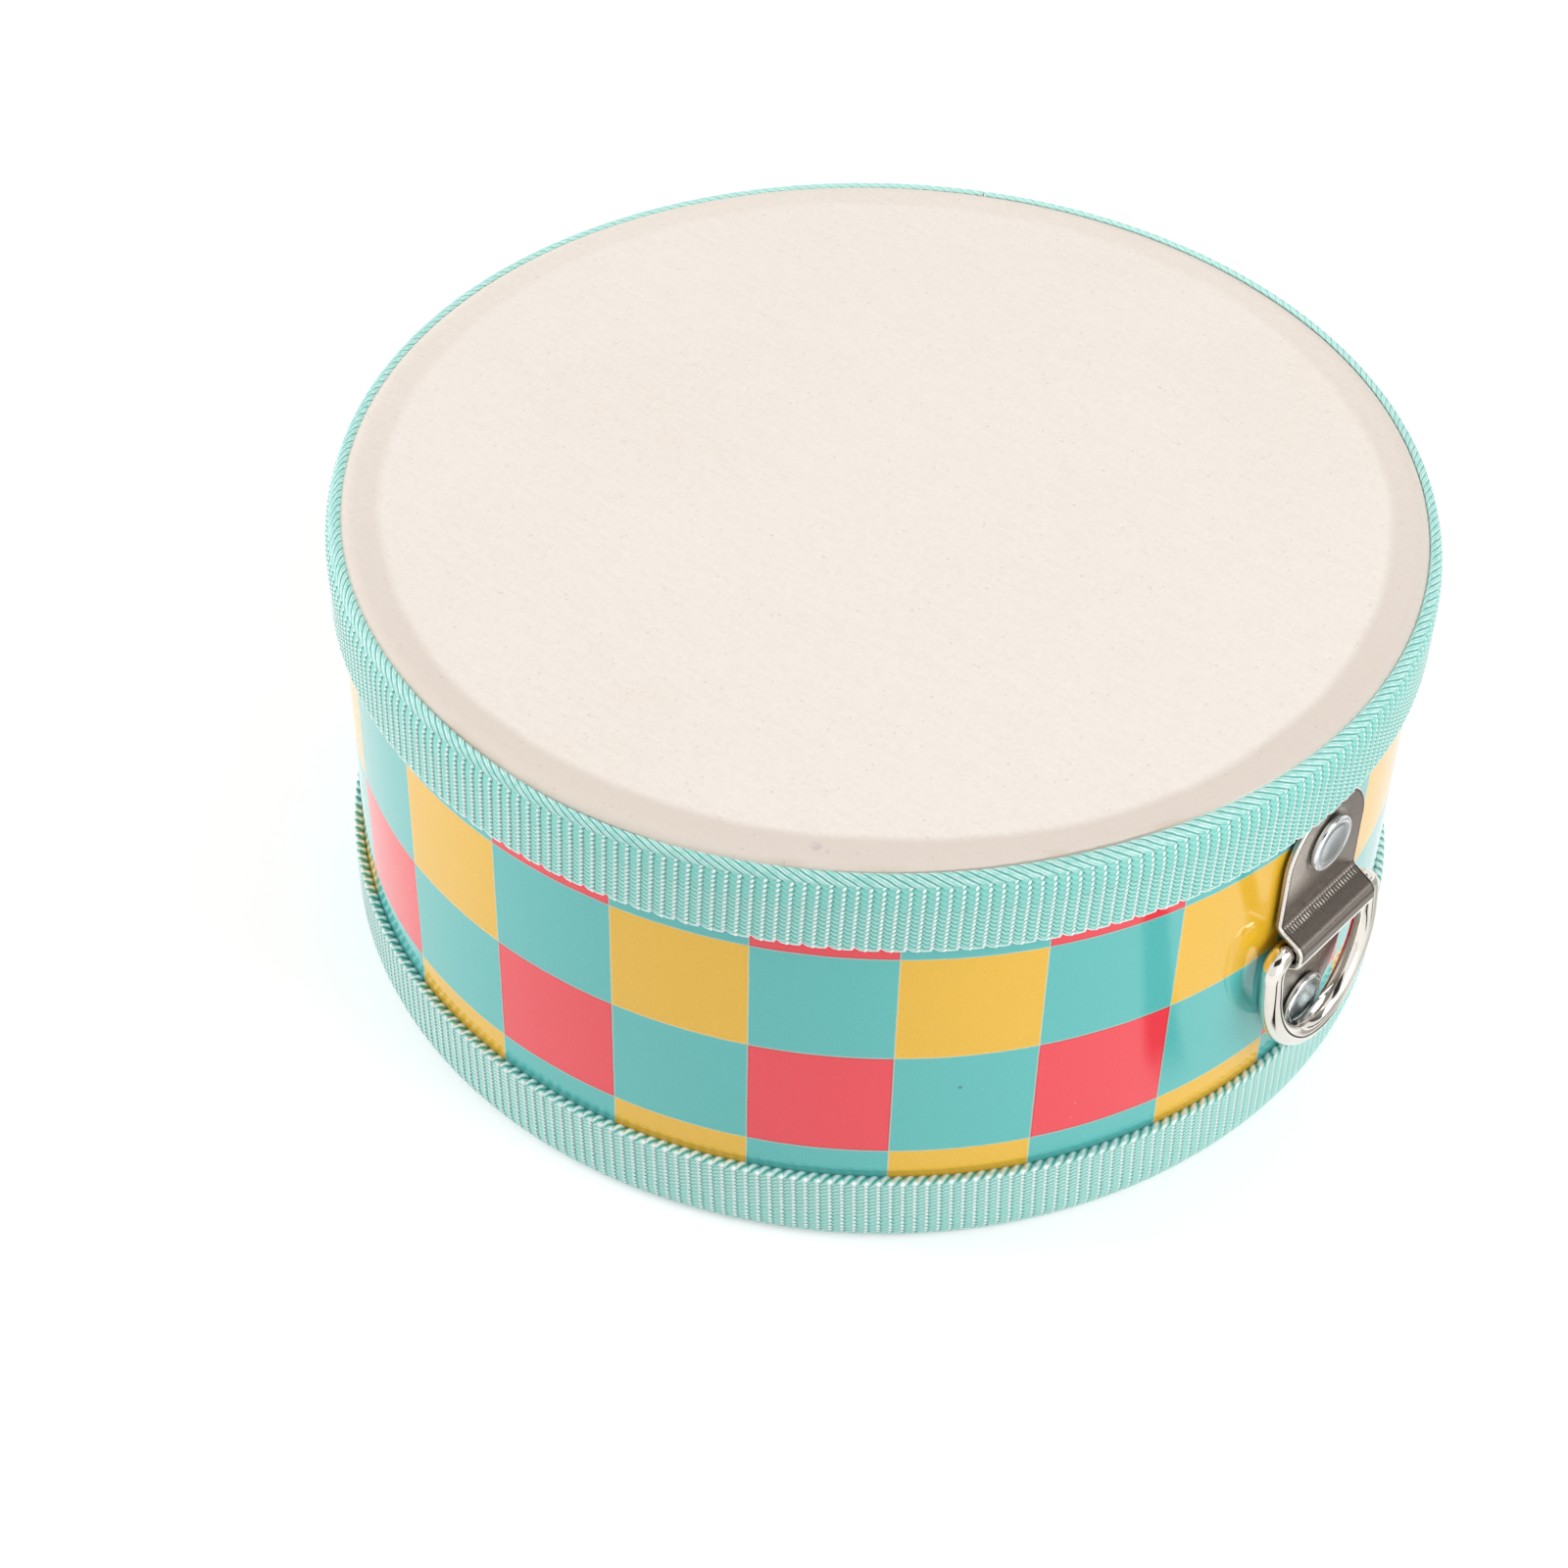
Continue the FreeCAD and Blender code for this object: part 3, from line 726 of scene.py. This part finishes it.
def make_band(level, part, material):
    """part is 'face' for the lower half of a band and 'selvage' for its lean and tip."""
    top = level == "top"
    seed = 21 if top else 31
    u = np.array([rib + share for rib in range(RIBS) for share in RIB_COLUMNS] + [float(RIBS)])[:, None]
    rows, under = band_rows(part)
    s = rows[None, :] + 0 * u
    gap = BAND_BUTT / 2 / BAND_R
    turn = (2 * math.pi - 2 * gap) / RIBS
    start = math.radians(BUTT_AZ) + gap
    calm = np.clip(np.minimum(u, RIBS - u) / 4, 0, 1)
    around = start + u * turn
    wander = 0.30 * (rows[None, :] / PROFILE_S[-1] - 0.5) + 0.10 * waves(around, seed, 6, 3, 11)
    azimuth = start + (u + wander * calm) * turn
    radius, depth, out_r, out_d = on_profile(s)
    lift = band_relief(u, s) + 0.02 * waves(around, seed + 2, 9, 40, 140)
    lift = lift - BODY_RELIEF - BEAD_RELIEF + CREST_OUT
    if part == "selvage":
        lift = lift + TIP_LIFT * np.clip((s - STRAND_START) / STRAND_LENGTH, 0, 1)
    radius, depth = radius + out_r * lift, depth + out_d * lift
    if part == "face":
        low = np.clip(1 - (s - EDGE_LENGTH) / HEM_REACH, 0, 1)
        lobes = u if top else 2 * u
        notch = np.exp(-(((lobes + 1) % 2 - 1) / NOTCH_WIDTH[level]) ** 2)
        depth = depth - low * (NOTCH_DEPTH[level] * notch + 0.05 * np.cos(math.pi * lobes) - 0.04)
    else:
        lobe = np.abs(np.sin(math.pi * (u + LEAN_AT_TIP)))
        near = np.clip((s - STRAND_START - STRAND_LOBE) / (STRAND_LENGTH - STRAND_LOBE), 0, 1) ** 2
        radius = radius - near * 0.09 * (lobe - 0.5)
        radius = radius + tip_stray(around, top) * np.clip((s - LEDGE) / (TIP_START - LEDGE), 0, 1) ** 2

    def with_under(front, back):
        return np.concatenate([front, np.broadcast_to(back, (len(u), len(under)))], 1)

    radius, depth = with_under(radius, under_line(under)), with_under(depth, under)
    azimuth = with_under(azimuth, around)
    verts, faces = tube(polar(radius, azimuth, HEIGHT - depth if top else depth))
    along = with_under(s, -1.0)
    rib = np.broadcast_to(u, along.shape)
    band = make_object(f"webbing_{level}_{part}", verts, faces if top else turned_round(faces),
                       along=np.append(along, [-1, -1]), rib=np.append(rib, [0, RIBS]),
                       upper=np.full(len(verts), float(top)))
    finish_piece(band, material, "drum", f"webbing_{level}")


def webbing_material():
    shade = Shade("nylon_webbing")
    rib, along, upper = shade.attributes("rib", "along", "upper")
    lower = 1.0 - upper
    whole = shade.math("FLOOR", rib)
    across = shade.math("MULTIPLY_ADD", rib - whole, 2.0, -1.0)
    middle = 1.0 - across * across
    fine = shade.math("LESS_THAN", along, LEDGE)
    rate = shade.math("MULTIPLY_ADD", fine, 1 / FINE_PITCH - 1 / COARSE_PITCH, 1 / COARSE_PITCH)
    count = (along - LEDGE) * rate
    half = shade.math("FLOORED_MODULO", whole, 2.0) * 0.5
    unsteady = shade.sway(0.3, 700, 2)
    phase = count + half + unsteady
    loop = shade.zigzag(phase)
    arc = shade.zigzag(phase + middle * 0.62)
    # painted highlights on the columns of beads, painted shade in the notches to the right of them, and
    # faint painted light and shade on the arcs of the ribs
    turn = shade.math("FRACT", phase) - 0.5
    place = rib - BEAD_AT - turn * 0.16
    slim = shade.math("PINGPONG", place, 0.5) - loop * 0.09
    column = shade.fall(slim, 0.02, 0.10)
    bead = column * shade.ramp(loop, 0.10, 0.50)
    right = shade.math("PINGPONG", place - 0.20, 0.5)
    notch = shade.fall(right, 0.04, 0.16) * shade.ramp(loop, 0.30, 0.85, 1.0, 0.15)
    gap = column * shade.fall(loop, 0.05, 0.35, 0.7)
    weight = shade.math("MULTIPLY_ADD", fine, 0.36, 0.16) * (1.0 - column)
    arc_highlight = shade.ramp(arc, 0.62, 0.95) * weight
    arc_shade = shade.fall(arc, 0.08, 0.42) * weight
    # diagonal strands at the tip, with painted highlights on them and painted shade between them
    share = shade.math("DIVIDE", along - STRAND_START, STRAND_LENGTH)
    slant = rib + share * LEAN_AT_TIP + unsteady * 1.1
    wide = shade.zigzag(slant)
    thin = shade.zigzag(slant * 2.0)
    strand_gap_shade = shade.fall(wide, 0.0, 0.30, 0.9)
    strand_highlight = shade.ramp(thin, 0.25, 0.95, 0.22, 0.9) * shade.ramp(wide, 0.15, 0.6)
    strand_highlight = strand_highlight * shade.ramp(shade.noise(1100, 2), 0.35, 0.6, 0.45, 1.0)
    in_strand = shade.ramp(share, -0.12, 0.12)
    # hooks where the weft turns over the inner selvage, seen on edge as a painted highlight, with painted
    # shade between the hooks
    edge = shade.ramp(along, EDGE_LENGTH + 0.20, EDGE_LENGTH - 0.10)
    hook_wave = shade.zigzag(rib + along * 0.45)
    hook_highlight = shade.most(shade.ramp(hook_wave, 0.45, 0.75), upper * 0.85)
    hollow_shade = shade.fall(hook_wave, 0.05, 0.40) * lower

    def zone(ribbed, strands, hooks):
        value = shade.value("Mix", {0: in_strand, 2: ribbed, 3: strands}, data_type="FLOAT")
        return shade.value("Mix", {0: edge, 2: value, 3: hooks}, data_type="FLOAT")

    # painted shade in the weave's gaps, and painted highlights on its beads, arcs, strands and hooks
    dark = zone(shade.most(notch, gap, arc_shade), strand_gap_shade, hollow_shade)
    painted_highlight = zone(shade.most(bead, arc_highlight), strand_highlight, hook_highlight)
    height = zone(bead * 0.7 + arc * 0.35, wide * 0.6 + thin * 0.3, hook_wave)
    drift = shade.ramp(shade.noise(40), 0.3, 0.7)
    shade.tone = shade.mix(drift * 0.25, srgb(130, 214, 203), srgb(144, 222, 211))
    shade.paint(lower * 0.22, 216, 244, 240)
    shade.paint(dark * 0.9, 52, 140, 127)
    shade.paint(painted_highlight * 0.95, 248, 255, 254)
    # painted light: paler away from the front, as the band is lit from behind there
    far = shade.ramp(shade.toward_front(), 0.020, -0.072, 0.0, 0.60)
    shade.paint(far, 204, 250, 243)
    height = height + shade.noise(3000, 2, 0.6) * 0.12
    normal = shade.bump(height, 0.00012, 0.8)
    return shade.finish(Roughness=0.42, Specular_IOR_Level=0.5, Normal=normal, Sheen_Weight=0.12)


webbing = webbing_material()
for level in ("top", "bottom"):
    for part in ("face", "selvage"):
        make_band(level, part, webbing)


# Strap hangers
PLATE_HALF = PLATE_HIGH[1]
WIRE_R = 1.575
LOOP_CLEAR = 0.08
SHEET = PLATE_HIGH[0] - BAR_X - WIRE_R - LOOP_CLEAR
ROOF = math.radians(27.0)  # slope of the loop's two flanks
FOOT_R, CREST_R = 1.3, 1.25
TAPER = (BAR_Z - PLATE_LOW[2]) * 0.6
CAP_Z, TAPER_Z = PLATE_HIGH[2] - PLATE_HALF, PLATE_LOW[2] + TAPER
TAB_MID = WRAP_R + LAY_GAP + SHEET / 2
LOOP_R = WIRE_R + LOOP_CLEAR + SHEET / 2
UPPER_RIVET_Z = (RIVET_LOW[2] + RIVET_HIGH[2]) / 2
LOWER_RIVET_Z = sum(node_box("rivet_lower_right"))[2] / 2
RIVET_DENTS = ((UPPER_RIVET_Z, 0.20), (LOWER_RIVET_Z, 0.08))  # height and depth
DENT_R, DENT_WIDTH = 4.15, 0.55
EDGE_ROUND = 0.3
RIM_WIDTH = 0.9  # of the painted highlight on the rounded edge and the painted dark line inside it
TICK_Z = 40.35  # row of press marks just under the upper foot's bend
TICK_PITCH, TICK_SPAN = 0.57, 8.1
TICK_DEPTH = 0.04
PIT_Y, PIT_Z, PIT_DEPTH, PIT_WIDTH = -4.0, 45.0, 0.06, 0.2
FOLD_Z = 36.8  # lower bend of the loop's crest, which carries a painted highlight
BEND_STEPS = 14


def rounded_line(corners, radii, spacing):
    """Points and normals along straight runs joined by tangent arcs, in (x, z)."""
    points, normals = [], []

    def run(a, b, step):
        count = max(2, int(np.linalg.norm(b - a) / step) + 1)
        way = (b - a) / np.linalg.norm(b - a)
        for t in np.linspace(0, 1, count)[:-1]:
            points.append(a + (b - a) * t)
            normals.append(np.array([-way[1], way[0]]))

    start = np.array(corners[0], float)
    for index, radius in enumerate(radii):
        corner = np.array(corners[index + 1], float)
        before, after = np.array(corners[index]) - corner, np.array(corners[index + 2]) - corner
        before, after = before / np.linalg.norm(before), after / np.linalg.norm(after)
        half = math.acos(np.clip(before @ after, -1, 1)) / 2
        a, b = (corner + way * radius / math.tan(half) for way in (before, after))
        middle = before + after
        centre = corner + middle / np.linalg.norm(middle) * radius / math.sin(half)
        run(start, a, spacing[index])
        turn_a, turn_b = a - centre, b - centre
        sweep = math.atan2(turn_a[0] * turn_b[1] - turn_a[1] * turn_b[0], turn_a @ turn_b)
        for t in np.linspace(0, 1, BEND_STEPS)[:-1]:
            c, s = math.cos(sweep * t), math.sin(sweep * t)
            spoke = np.array([turn_a[0] * c - turn_a[1] * s, turn_a[0] * s + turn_a[1] * c])
            points.append(centre + spoke)
            way = np.array([-spoke[1], spoke[0]]) * np.sign(sweep) / radius
            normals.append(np.array([-way[1], way[0]]))
        start = b
    end = np.array(corners[-1], float)
    run(start, end, spacing[-1])
    points.append(end)
    normals.append(normals[-1])
    return np.array(points), np.array(normals)


def plate_centreline():
    foot = (LOOP_R + (BAR_X - TAB_MID) * math.sin(ROOF)) / math.cos(ROOF)
    crest = (LOOP_R - LOOP_R * math.sin(ROOF)) / math.cos(ROOF)
    corners = [(TAB_MID, PLATE_HIGH[2]), (TAB_MID, BAR_Z + foot), (BAR_X + LOOP_R, BAR_Z + crest),
               (BAR_X + LOOP_R, BAR_Z - crest), (TAB_MID, BAR_Z - foot), (TAB_MID, PLATE_LOW[2])]
    return rounded_line(corners, [FOOT_R, CREST_R, CREST_R, FOOT_R], [0.14, 0.11, 0.11, 0.11, 0.20])


def outline_at(z):
    """Half width of the hanger's front outline at a height."""
    up = np.clip((z - CAP_Z) / PLATE_HALF, 0, 1)
    down = np.clip((TAPER_Z - z) / TAPER, 0, 1)
    return PLATE_HALF * np.sqrt(np.maximum(1 - np.maximum(up, down) ** 2, 0))


def edge_distance(y, z):
    """Distance from the front outline, inside it."""
    side = PLATE_HALF - np.abs(y)
    cap = PLATE_HALF - np.hypot(y, z - CAP_Z)
    level = np.hypot(y / PLATE_HALF, (TAPER_Z - z) / TAPER)
    slope = np.hypot(y / PLATE_HALF ** 2, (TAPER_Z - z) / TAPER ** 2) / np.maximum(level, 1e-6)
    tip = (1 - level) / np.maximum(slope, 1e-6)
    return np.maximum(np.where(z > CAP_Z, cap, np.where(z < TAPER_Z, tip, side)), 0)


def nickel_material():
    shade = Shade("satin_nickel")
    x, y, z = shade.axes()
    edge, inside, fold = shade.attributes("edge", "inside", "fold")
    # painted reflection: warm and light towards one side of the upper tab
    painted_reflection = shade.math("SIGN", x) * y + shade.sway(0.003, 160, 3, 0.6)
    painted_reflection = shade.fall(painted_reflection, -0.008, 0.001) * shade.ramp(z, 0.0435, 0.049) * 0.75
    shade.tone = shade.mix(painted_reflection, srgb(150, 142, 134), srgb(214, 204, 192))
    fine = shade.ramp(shade.noise(3600, 2, 0.7), 0.3, 0.75, 0.0, 0.22)
    shade.paint(fine, 112, 106, 100)
    # painted shade: a dark line runs inside the painted highlight on the rounded edge
    edge_shade_line = shade.ramp(edge, 0.32, 0.48) * shade.fall(edge, 0.62, 0.78) * 0.65
    shade.paint(edge_shade_line, 58, 52, 50)
    # press marks in a row along the bend, each with a short dark stroke under it
    comb = shade.math("COSINE", y * (2 * math.pi / (TICK_PITCH * MM)))
    tooth = shade.ramp(comb + shade.sway(2.6, 600, 2), 0.30, 1.0)
    drop = TICK_Z * MM - z
    row = shade.fall(abs(drop), 0.08 * MM, 0.24 * MM)
    tail = shade.ramp(drop, 0.75 * MM, 0.2 * MM) * shade.ramp(drop, 0.0, 0.15 * MM)
    span = shade.fall(abs(y), (TICK_SPAN - 0.4) * MM, TICK_SPAN * MM)
    outside = (1.0 - inside) * span
    shade.paint(tooth * tail * outside * 0.35, 60, 56, 54)
    # painted highlights on the rounded edge and on the fold, with the bright press marks
    painted_glint_and_marks = shade.most(shade.ramp(edge, 0.70, 0.88), fold, tooth * row * outside)
    # painted shadow: a soft dark line beside the fold's painted highlight
    beside_fold = abs(z - (FOLD_Z + 0.15) * MM)
    shadow = shade.fall(beside_fold, 0.10 * MM, 0.50 * MM, 0.5) * (1.0 - painted_glint_and_marks)
    shade.paint(shadow, 70, 64, 62)
    shade.paint(painted_glint_and_marks, 250, 246, 240)
    # painted shade on the sheet's inner face, inside the loop
    shade.paint(inside * 0.8, 46, 40, 38)
    metal = 1.0 - shade.most(painted_glint_and_marks, painted_reflection) * 0.7
    rough = shade.ramp(shade.noise(2400, 3, 0.7), 0.3, 0.7, 0.27, 0.30)
    normal = shade.bump(shade.noise(3600, 2, 0.6), 0.000005, 0.5)
    return shade.finish(Metallic=metal, Roughness=rough, Normal=normal)


def plate_dents(y, z, on_tab, on_slope):
    """Depth of the marks pressed into the hanger's outer face."""
    dents = np.zeros_like(y)
    for rivet_z, depth in RIVET_DENTS:
        reach = np.hypot(y, z - rivet_z)
        dents += on_tab * depth * np.exp(-((reach - DENT_R) / DENT_WIDTH) ** 2)
    tooth = np.clip(np.cos(2 * math.pi * y / TICK_PITCH), 0, 1) ** 0.8
    press = np.exp(-((TICK_Z - z) / 0.26) ** 4) * on_slope
    dents += TICK_DEPTH * tooth * press * np.clip((TICK_SPAN - np.abs(y)) / 0.3, 0, 1)
    pit = np.hypot(y - PIT_Y, z - PIT_Z)
    dents += on_tab * PIT_DEPTH * np.exp(-(pit / PIT_WIDTH) ** 2)
    return dents


def make_plate(word, side, material):
    line, normal = plate_centreline()
    x, z = line[:, :1], line[:, 1].copy()
    # rows crowd towards both tips, so that the round ends stay smooth
    cap = z > CAP_Z
    share = (z[cap] - CAP_Z) / PLATE_HALF
    z[cap] = CAP_Z + PLATE_HALF * np.sin(share * math.pi / 2)
    tail = (z < TAPER_Z) & (line[:, 0] < TAB_MID + 0.01)
    share = (TAPER_Z - z[tail]) / TAPER
    z[tail] = TAPER_Z - TAPER * np.sin(share * math.pi / 2)
    flat = np.linspace(-1, 1, 141)
    spread = np.sign(flat) * (1 - (1 - np.abs(flat)) ** 1.25)
    y = outline_at(z)[:, None] * spread[None, :]
    z = np.broadcast_to(z[:, None], y.shape)
    inset = edge_distance(y, z)
    corner = np.sqrt(np.maximum(EDGE_ROUND ** 2 - (EDGE_ROUND - np.minimum(inset, EDGE_ROUND)) ** 2, 0))
    thick = SHEET / 2 - EDGE_ROUND + corner
    raised = thick - plate_dents(y, z, x < TAB_MID + 0.05, x > TAB_MID + 0.2)
    normal_x, normal_z = normal[:, :1], normal[:, 1:]
    outer = np.stack([x + normal_x * raised, y, z + normal_z * raised], -1)
    inner = np.stack([x - normal_x * thick, y, z - normal_z * thick], -1)
    ring = np.concatenate([outer, inner[:, ::-1]], 1)
    rim = np.clip(1 - inset / RIM_WIDTH, 0, 1)
    fold = np.clip((FOLD_Z - z) / 0.12, 0, 1) * np.clip((z - FOLD_Z + 1.1) / 0.3, 0, 1) * (x > BAR_X + 1)
    none = np.zeros_like(rim)
    inside = np.minimum(inset / EDGE_ROUND, 1)
    marks = {key: np.concatenate([front, back[:, ::-1]], 1) for key, front, back in
             (("edge", rim, none), ("fold", fold, none), ("inside", none, inside))}
    faces = [grid_quads(*ring.shape[:2], wrap_v=True)]
    plate = make_object(f"hanger_strip_{word}", other_side(ring, side), faces, **marks)
    merge_close(plate, 1e-6)
    finish_piece(plate, material, "drum", f"hanger_plate_{word}")


SIDES = (("right", 1), ("left", -1))
nickel = nickel_material()
for word, side in SIDES:
    make_plate(word, side, nickel)


# Strap rings
RING_HALF = RING_HIGH[1] - WIRE_R
RING_CORNER = 2.35
RING_LEG = 5.5  # straight leg's end below the bar
BOW_R = 8.8
RING_BUTT = 0.3
BOW_OUT, BOW_DROP = RING_HIGH[0] - WIRE_R - BAR_X, BAR_Z - WIRE_R - RING_LOW[2]
RING_REACH = math.hypot(BOW_OUT, BOW_DROP)
RING_LEAN = math.atan2(BOW_OUT, BOW_DROP)
WIRE_SIDES = 48


def arc_points(centre, radius, start, end, count):
    return [centre + radius * np.array([math.cos(a), math.sin(a)]) for a in np.linspace(start, end, count)]


def ring_path():
    """Centre line of the ring from the bar's middle round to its middle again, in (y, z)."""
    rise = RING_REACH - RING_LEG
    side = (RING_HALF ** 2 + rise ** 2 - 2 * rise * BOW_R) / (2 * (RING_HALF - BOW_R))
    side_centre = np.array([RING_HALF - side, -RING_LEG])
    bow_centre = np.array([0.0, BOW_R - RING_REACH])
    meet = math.atan2(bow_centre[1] - side_centre[1], -side_centre[0])
    corner = np.array([RING_HALF - RING_CORNER, -RING_CORNER])
    half = [(y, 0.0) for y in np.linspace(RING_BUTT / 2, RING_HALF - RING_CORNER, 26)[:-1]]
    half += arc_points(corner, RING_CORNER, math.pi / 2, 0, 22)[:-1]
    half += [(RING_HALF, z) for z in np.linspace(-RING_CORNER, -RING_LEG, 10)[:-1]]
    half += arc_points(side_centre, side, 0, meet, 34)[:-1]
    half += arc_points(bow_centre, BOW_R, meet, -math.pi / 2, 44)
    half = np.array(half)
    mirrored = half[::-1][1:] * np.array([-1, 1])
    return np.concatenate([half, mirrored])


def ring_material():
    shade = Shade("polished_nickel")
    cloud = shade.ramp(shade.noise(120), 0.35, 0.65)
    shade.tone = shade.mix(cloud, srgb(226, 221, 212), srgb(236, 232, 225))
    scratch = shade.noise(900, 3, 0.7, (1, 1, 8), (0.4, 0.2, 0))
    rough = shade.ramp(scratch, 0.4, 0.7, 0.06, 0.13)
    normal = shade.bump(scratch, 0.000008, 0.4)
    return shade.finish(Metallic=1.0, Roughness=rough, Normal=normal)


def make_ring(word, side, material):
    path = ring_path()
    tangent = np.gradient(path, axis=0)
    tangent /= np.linalg.norm(tangent, axis=1)[:, None]
    around = np.linspace(0, 2 * math.pi, WIRE_SIDES, endpoint=False)
    cos_a, sin_a = np.cos(around), np.sin(around)
    y = path[:, :1] + WIRE_R * tangent[:, 1:] * cos_a
    z = path[:, 1:] - WIRE_R * tangent[:, :1] * cos_a
    x = np.broadcast_to(WIRE_R * sin_a, y.shape)
    cos_l, sin_l = math.cos(RING_LEAN), math.sin(RING_LEAN)
    verts, faces = tube(np.stack([x * cos_l - z * sin_l + BAR_X, y, x * sin_l + z * cos_l + BAR_Z], -1))
    wire = make_object(f"ring_wire_{word}", other_side(verts, side), faces)
    merge_close(wire, 1e-7)
    finish_piece(wire, material, f"ring_{word}", f"d_ring_{word}")


polished = ring_material()
for word, side in SIDES:
    make_ring(word, side, polished)


# Rivets and hidden parts
HEAD_R = RIVET_HIGH[1]
SHANK_R, BORE_R, BORE_DEPTH, ROLL_R = 2.0, 1.3, 3.2, 3.1
SEAT_X = TAB_MID + SHEET / 2 + LAY_GAP / 2
CROWN_X = RIVET_HIGH[0]
TAIL_X = RIVET_LOW[0]
WASHER_X = node_box("washer_upper_right")[0][0]
DISH_R, DISH_DEPTH, DISH_RISE = 2.9, 0.28, 0.22  # shallow dish in the head's face
GROOVE = ((0.12, 3.05), (0.15, 3.15), (0.10, 3.25))  # depth under the crown and radius
CROWN_ROUND = 0.44
RIM_R, RIM_FOOT = 3.3, 0.3  # radius and height over the seat beyond which the head carries a painted highlight
HEAD_FOOT = ((0.10, 0.12), (0.0, 0.25))  # height over the seat, inset from the rim
RIVET_SIDES = 96


def rivet_profile():
    """Lathe line from the crown's middle to the bore's end, as x and radius."""
    line = [(CROWN_X - DISH_DEPTH + DISH_RISE * (r / DISH_R) ** 2, r) for r in np.linspace(0, DISH_R, 12)]
    line += [(CROWN_X - depth, r) for depth, r in GROOVE]
    for a in np.radians(np.linspace(130, -30, 20)):
        line.append((CROWN_X - CROWN_ROUND + CROWN_ROUND * math.sin(a),
                     HEAD_R - CROWN_ROUND + CROWN_ROUND * math.cos(a)))
    line += [(SEAT_X + rise, HEAD_R - inset) for rise, inset in HEAD_FOOT]
    line += [(SEAT_X, SHANK_R), (WASHER_X, SHANK_R), (WASHER_X, ROLL_R)]
    middle, width = (ROLL_R + BORE_R) / 2, (ROLL_R - BORE_R) / 2
    roll = WASHER_X - TAIL_X
    for a in np.radians(np.linspace(0, 180, 14)):
        line.append((WASHER_X - roll * math.sin(a), middle + width * math.cos(a)))
    line += [(TAIL_X + BORE_DEPTH, BORE_R), (TAIL_X + BORE_DEPTH, 0.0)]
    return np.array(line)


def steel_material(name, tone_a, tone_b, rough_low, rough_high):
    shade = Shade(name)
    shade.tone = shade.mix(shade.ramp(shade.noise(300, 3, 0.6), 0.35, 0.65), tone_a, tone_b)
    rim, = shade.attributes("rim")
    # painted highlight round the head's rim
    shade.paint(rim * 0.75, 246, 250, 252)
    scratch = shade.noise(1300, 3, 0.7, (1, 1, 6), (0.7, 0.3, 0))
    rough = shade.ramp(scratch, 0.35, 0.7, rough_low, rough_high)
    normal = shade.bump(scratch, 0.000012, 0.5)
    return shade.finish(Metallic=1.0, Roughness=rough, Normal=normal)


def make_rivet(place, side, height, material):
    line = rivet_profile()
    x, radius = line[None, :, 0], line[None, :, 1]
    around = np.linspace(0, 2 * math.pi, RIVET_SIDES, endpoint=False)[:, None]
    y, z = radius * np.cos(around), height + radius * np.sin(around)
    ring = np.stack([np.broadcast_to(x, y.shape), y, z], -1)
    rim = (radius > RIM_R) & (x > SEAT_X + RIM_FOOT)
    rivet = make_object(f"rivet_{place}_lathe", other_side(ring, side),
                        [grid_quads(*y.shape, wrap_u=True)], rim=np.broadcast_to(rim, y.shape))
    merge_close(rivet, 1e-7)
    finish_piece(rivet, material, "drum", f"rivet_{place}")


rivet_steel = steel_material("rivet_steel", srgb(178, 187, 192), srgb(198, 206, 210), 0.16, 0.26)
for word, side in SIDES:
    make_rivet(f"upper_{word}", side, UPPER_RIVET_Z, rivet_steel)
    make_rivet(f"lower_{word}", side, LOWER_RIVET_Z, rivet_steel)


def wood_material():
    shade = Shade("bent_plywood")
    ply = shade.noise(40, 4, 0.6, (1, 1, 14))
    shade.tone = shade.mix(shade.ramp(ply, 0.3, 0.7), srgb(222, 190, 148), srgb(196, 158, 112))
    grain = shade.noise(300, 3, 0.6, (1, 1, 22))
    shade.paint(shade.ramp(grain, 0.4, 0.7, 0.0, 0.35), 160, 118, 76)
    normal = shade.bump(grain, 0.00005, 0.4)
    return shade.finish(Roughness=0.6, Normal=normal)


def dress(node, material):
    mesh = frame["nodes"][node].data
    mesh.materials.clear()
    mesh.materials.append(material)


dress("shell", wood_material())
washer_steel = steel_material("washer_steel", srgb(176, 178, 180), srgb(196, 198, 200), 0.25, 0.4)
for word, _ in SIDES:
    for level in ("upper", "lower"):
        dress(f"washer_{level}_{word}", washer_steel)
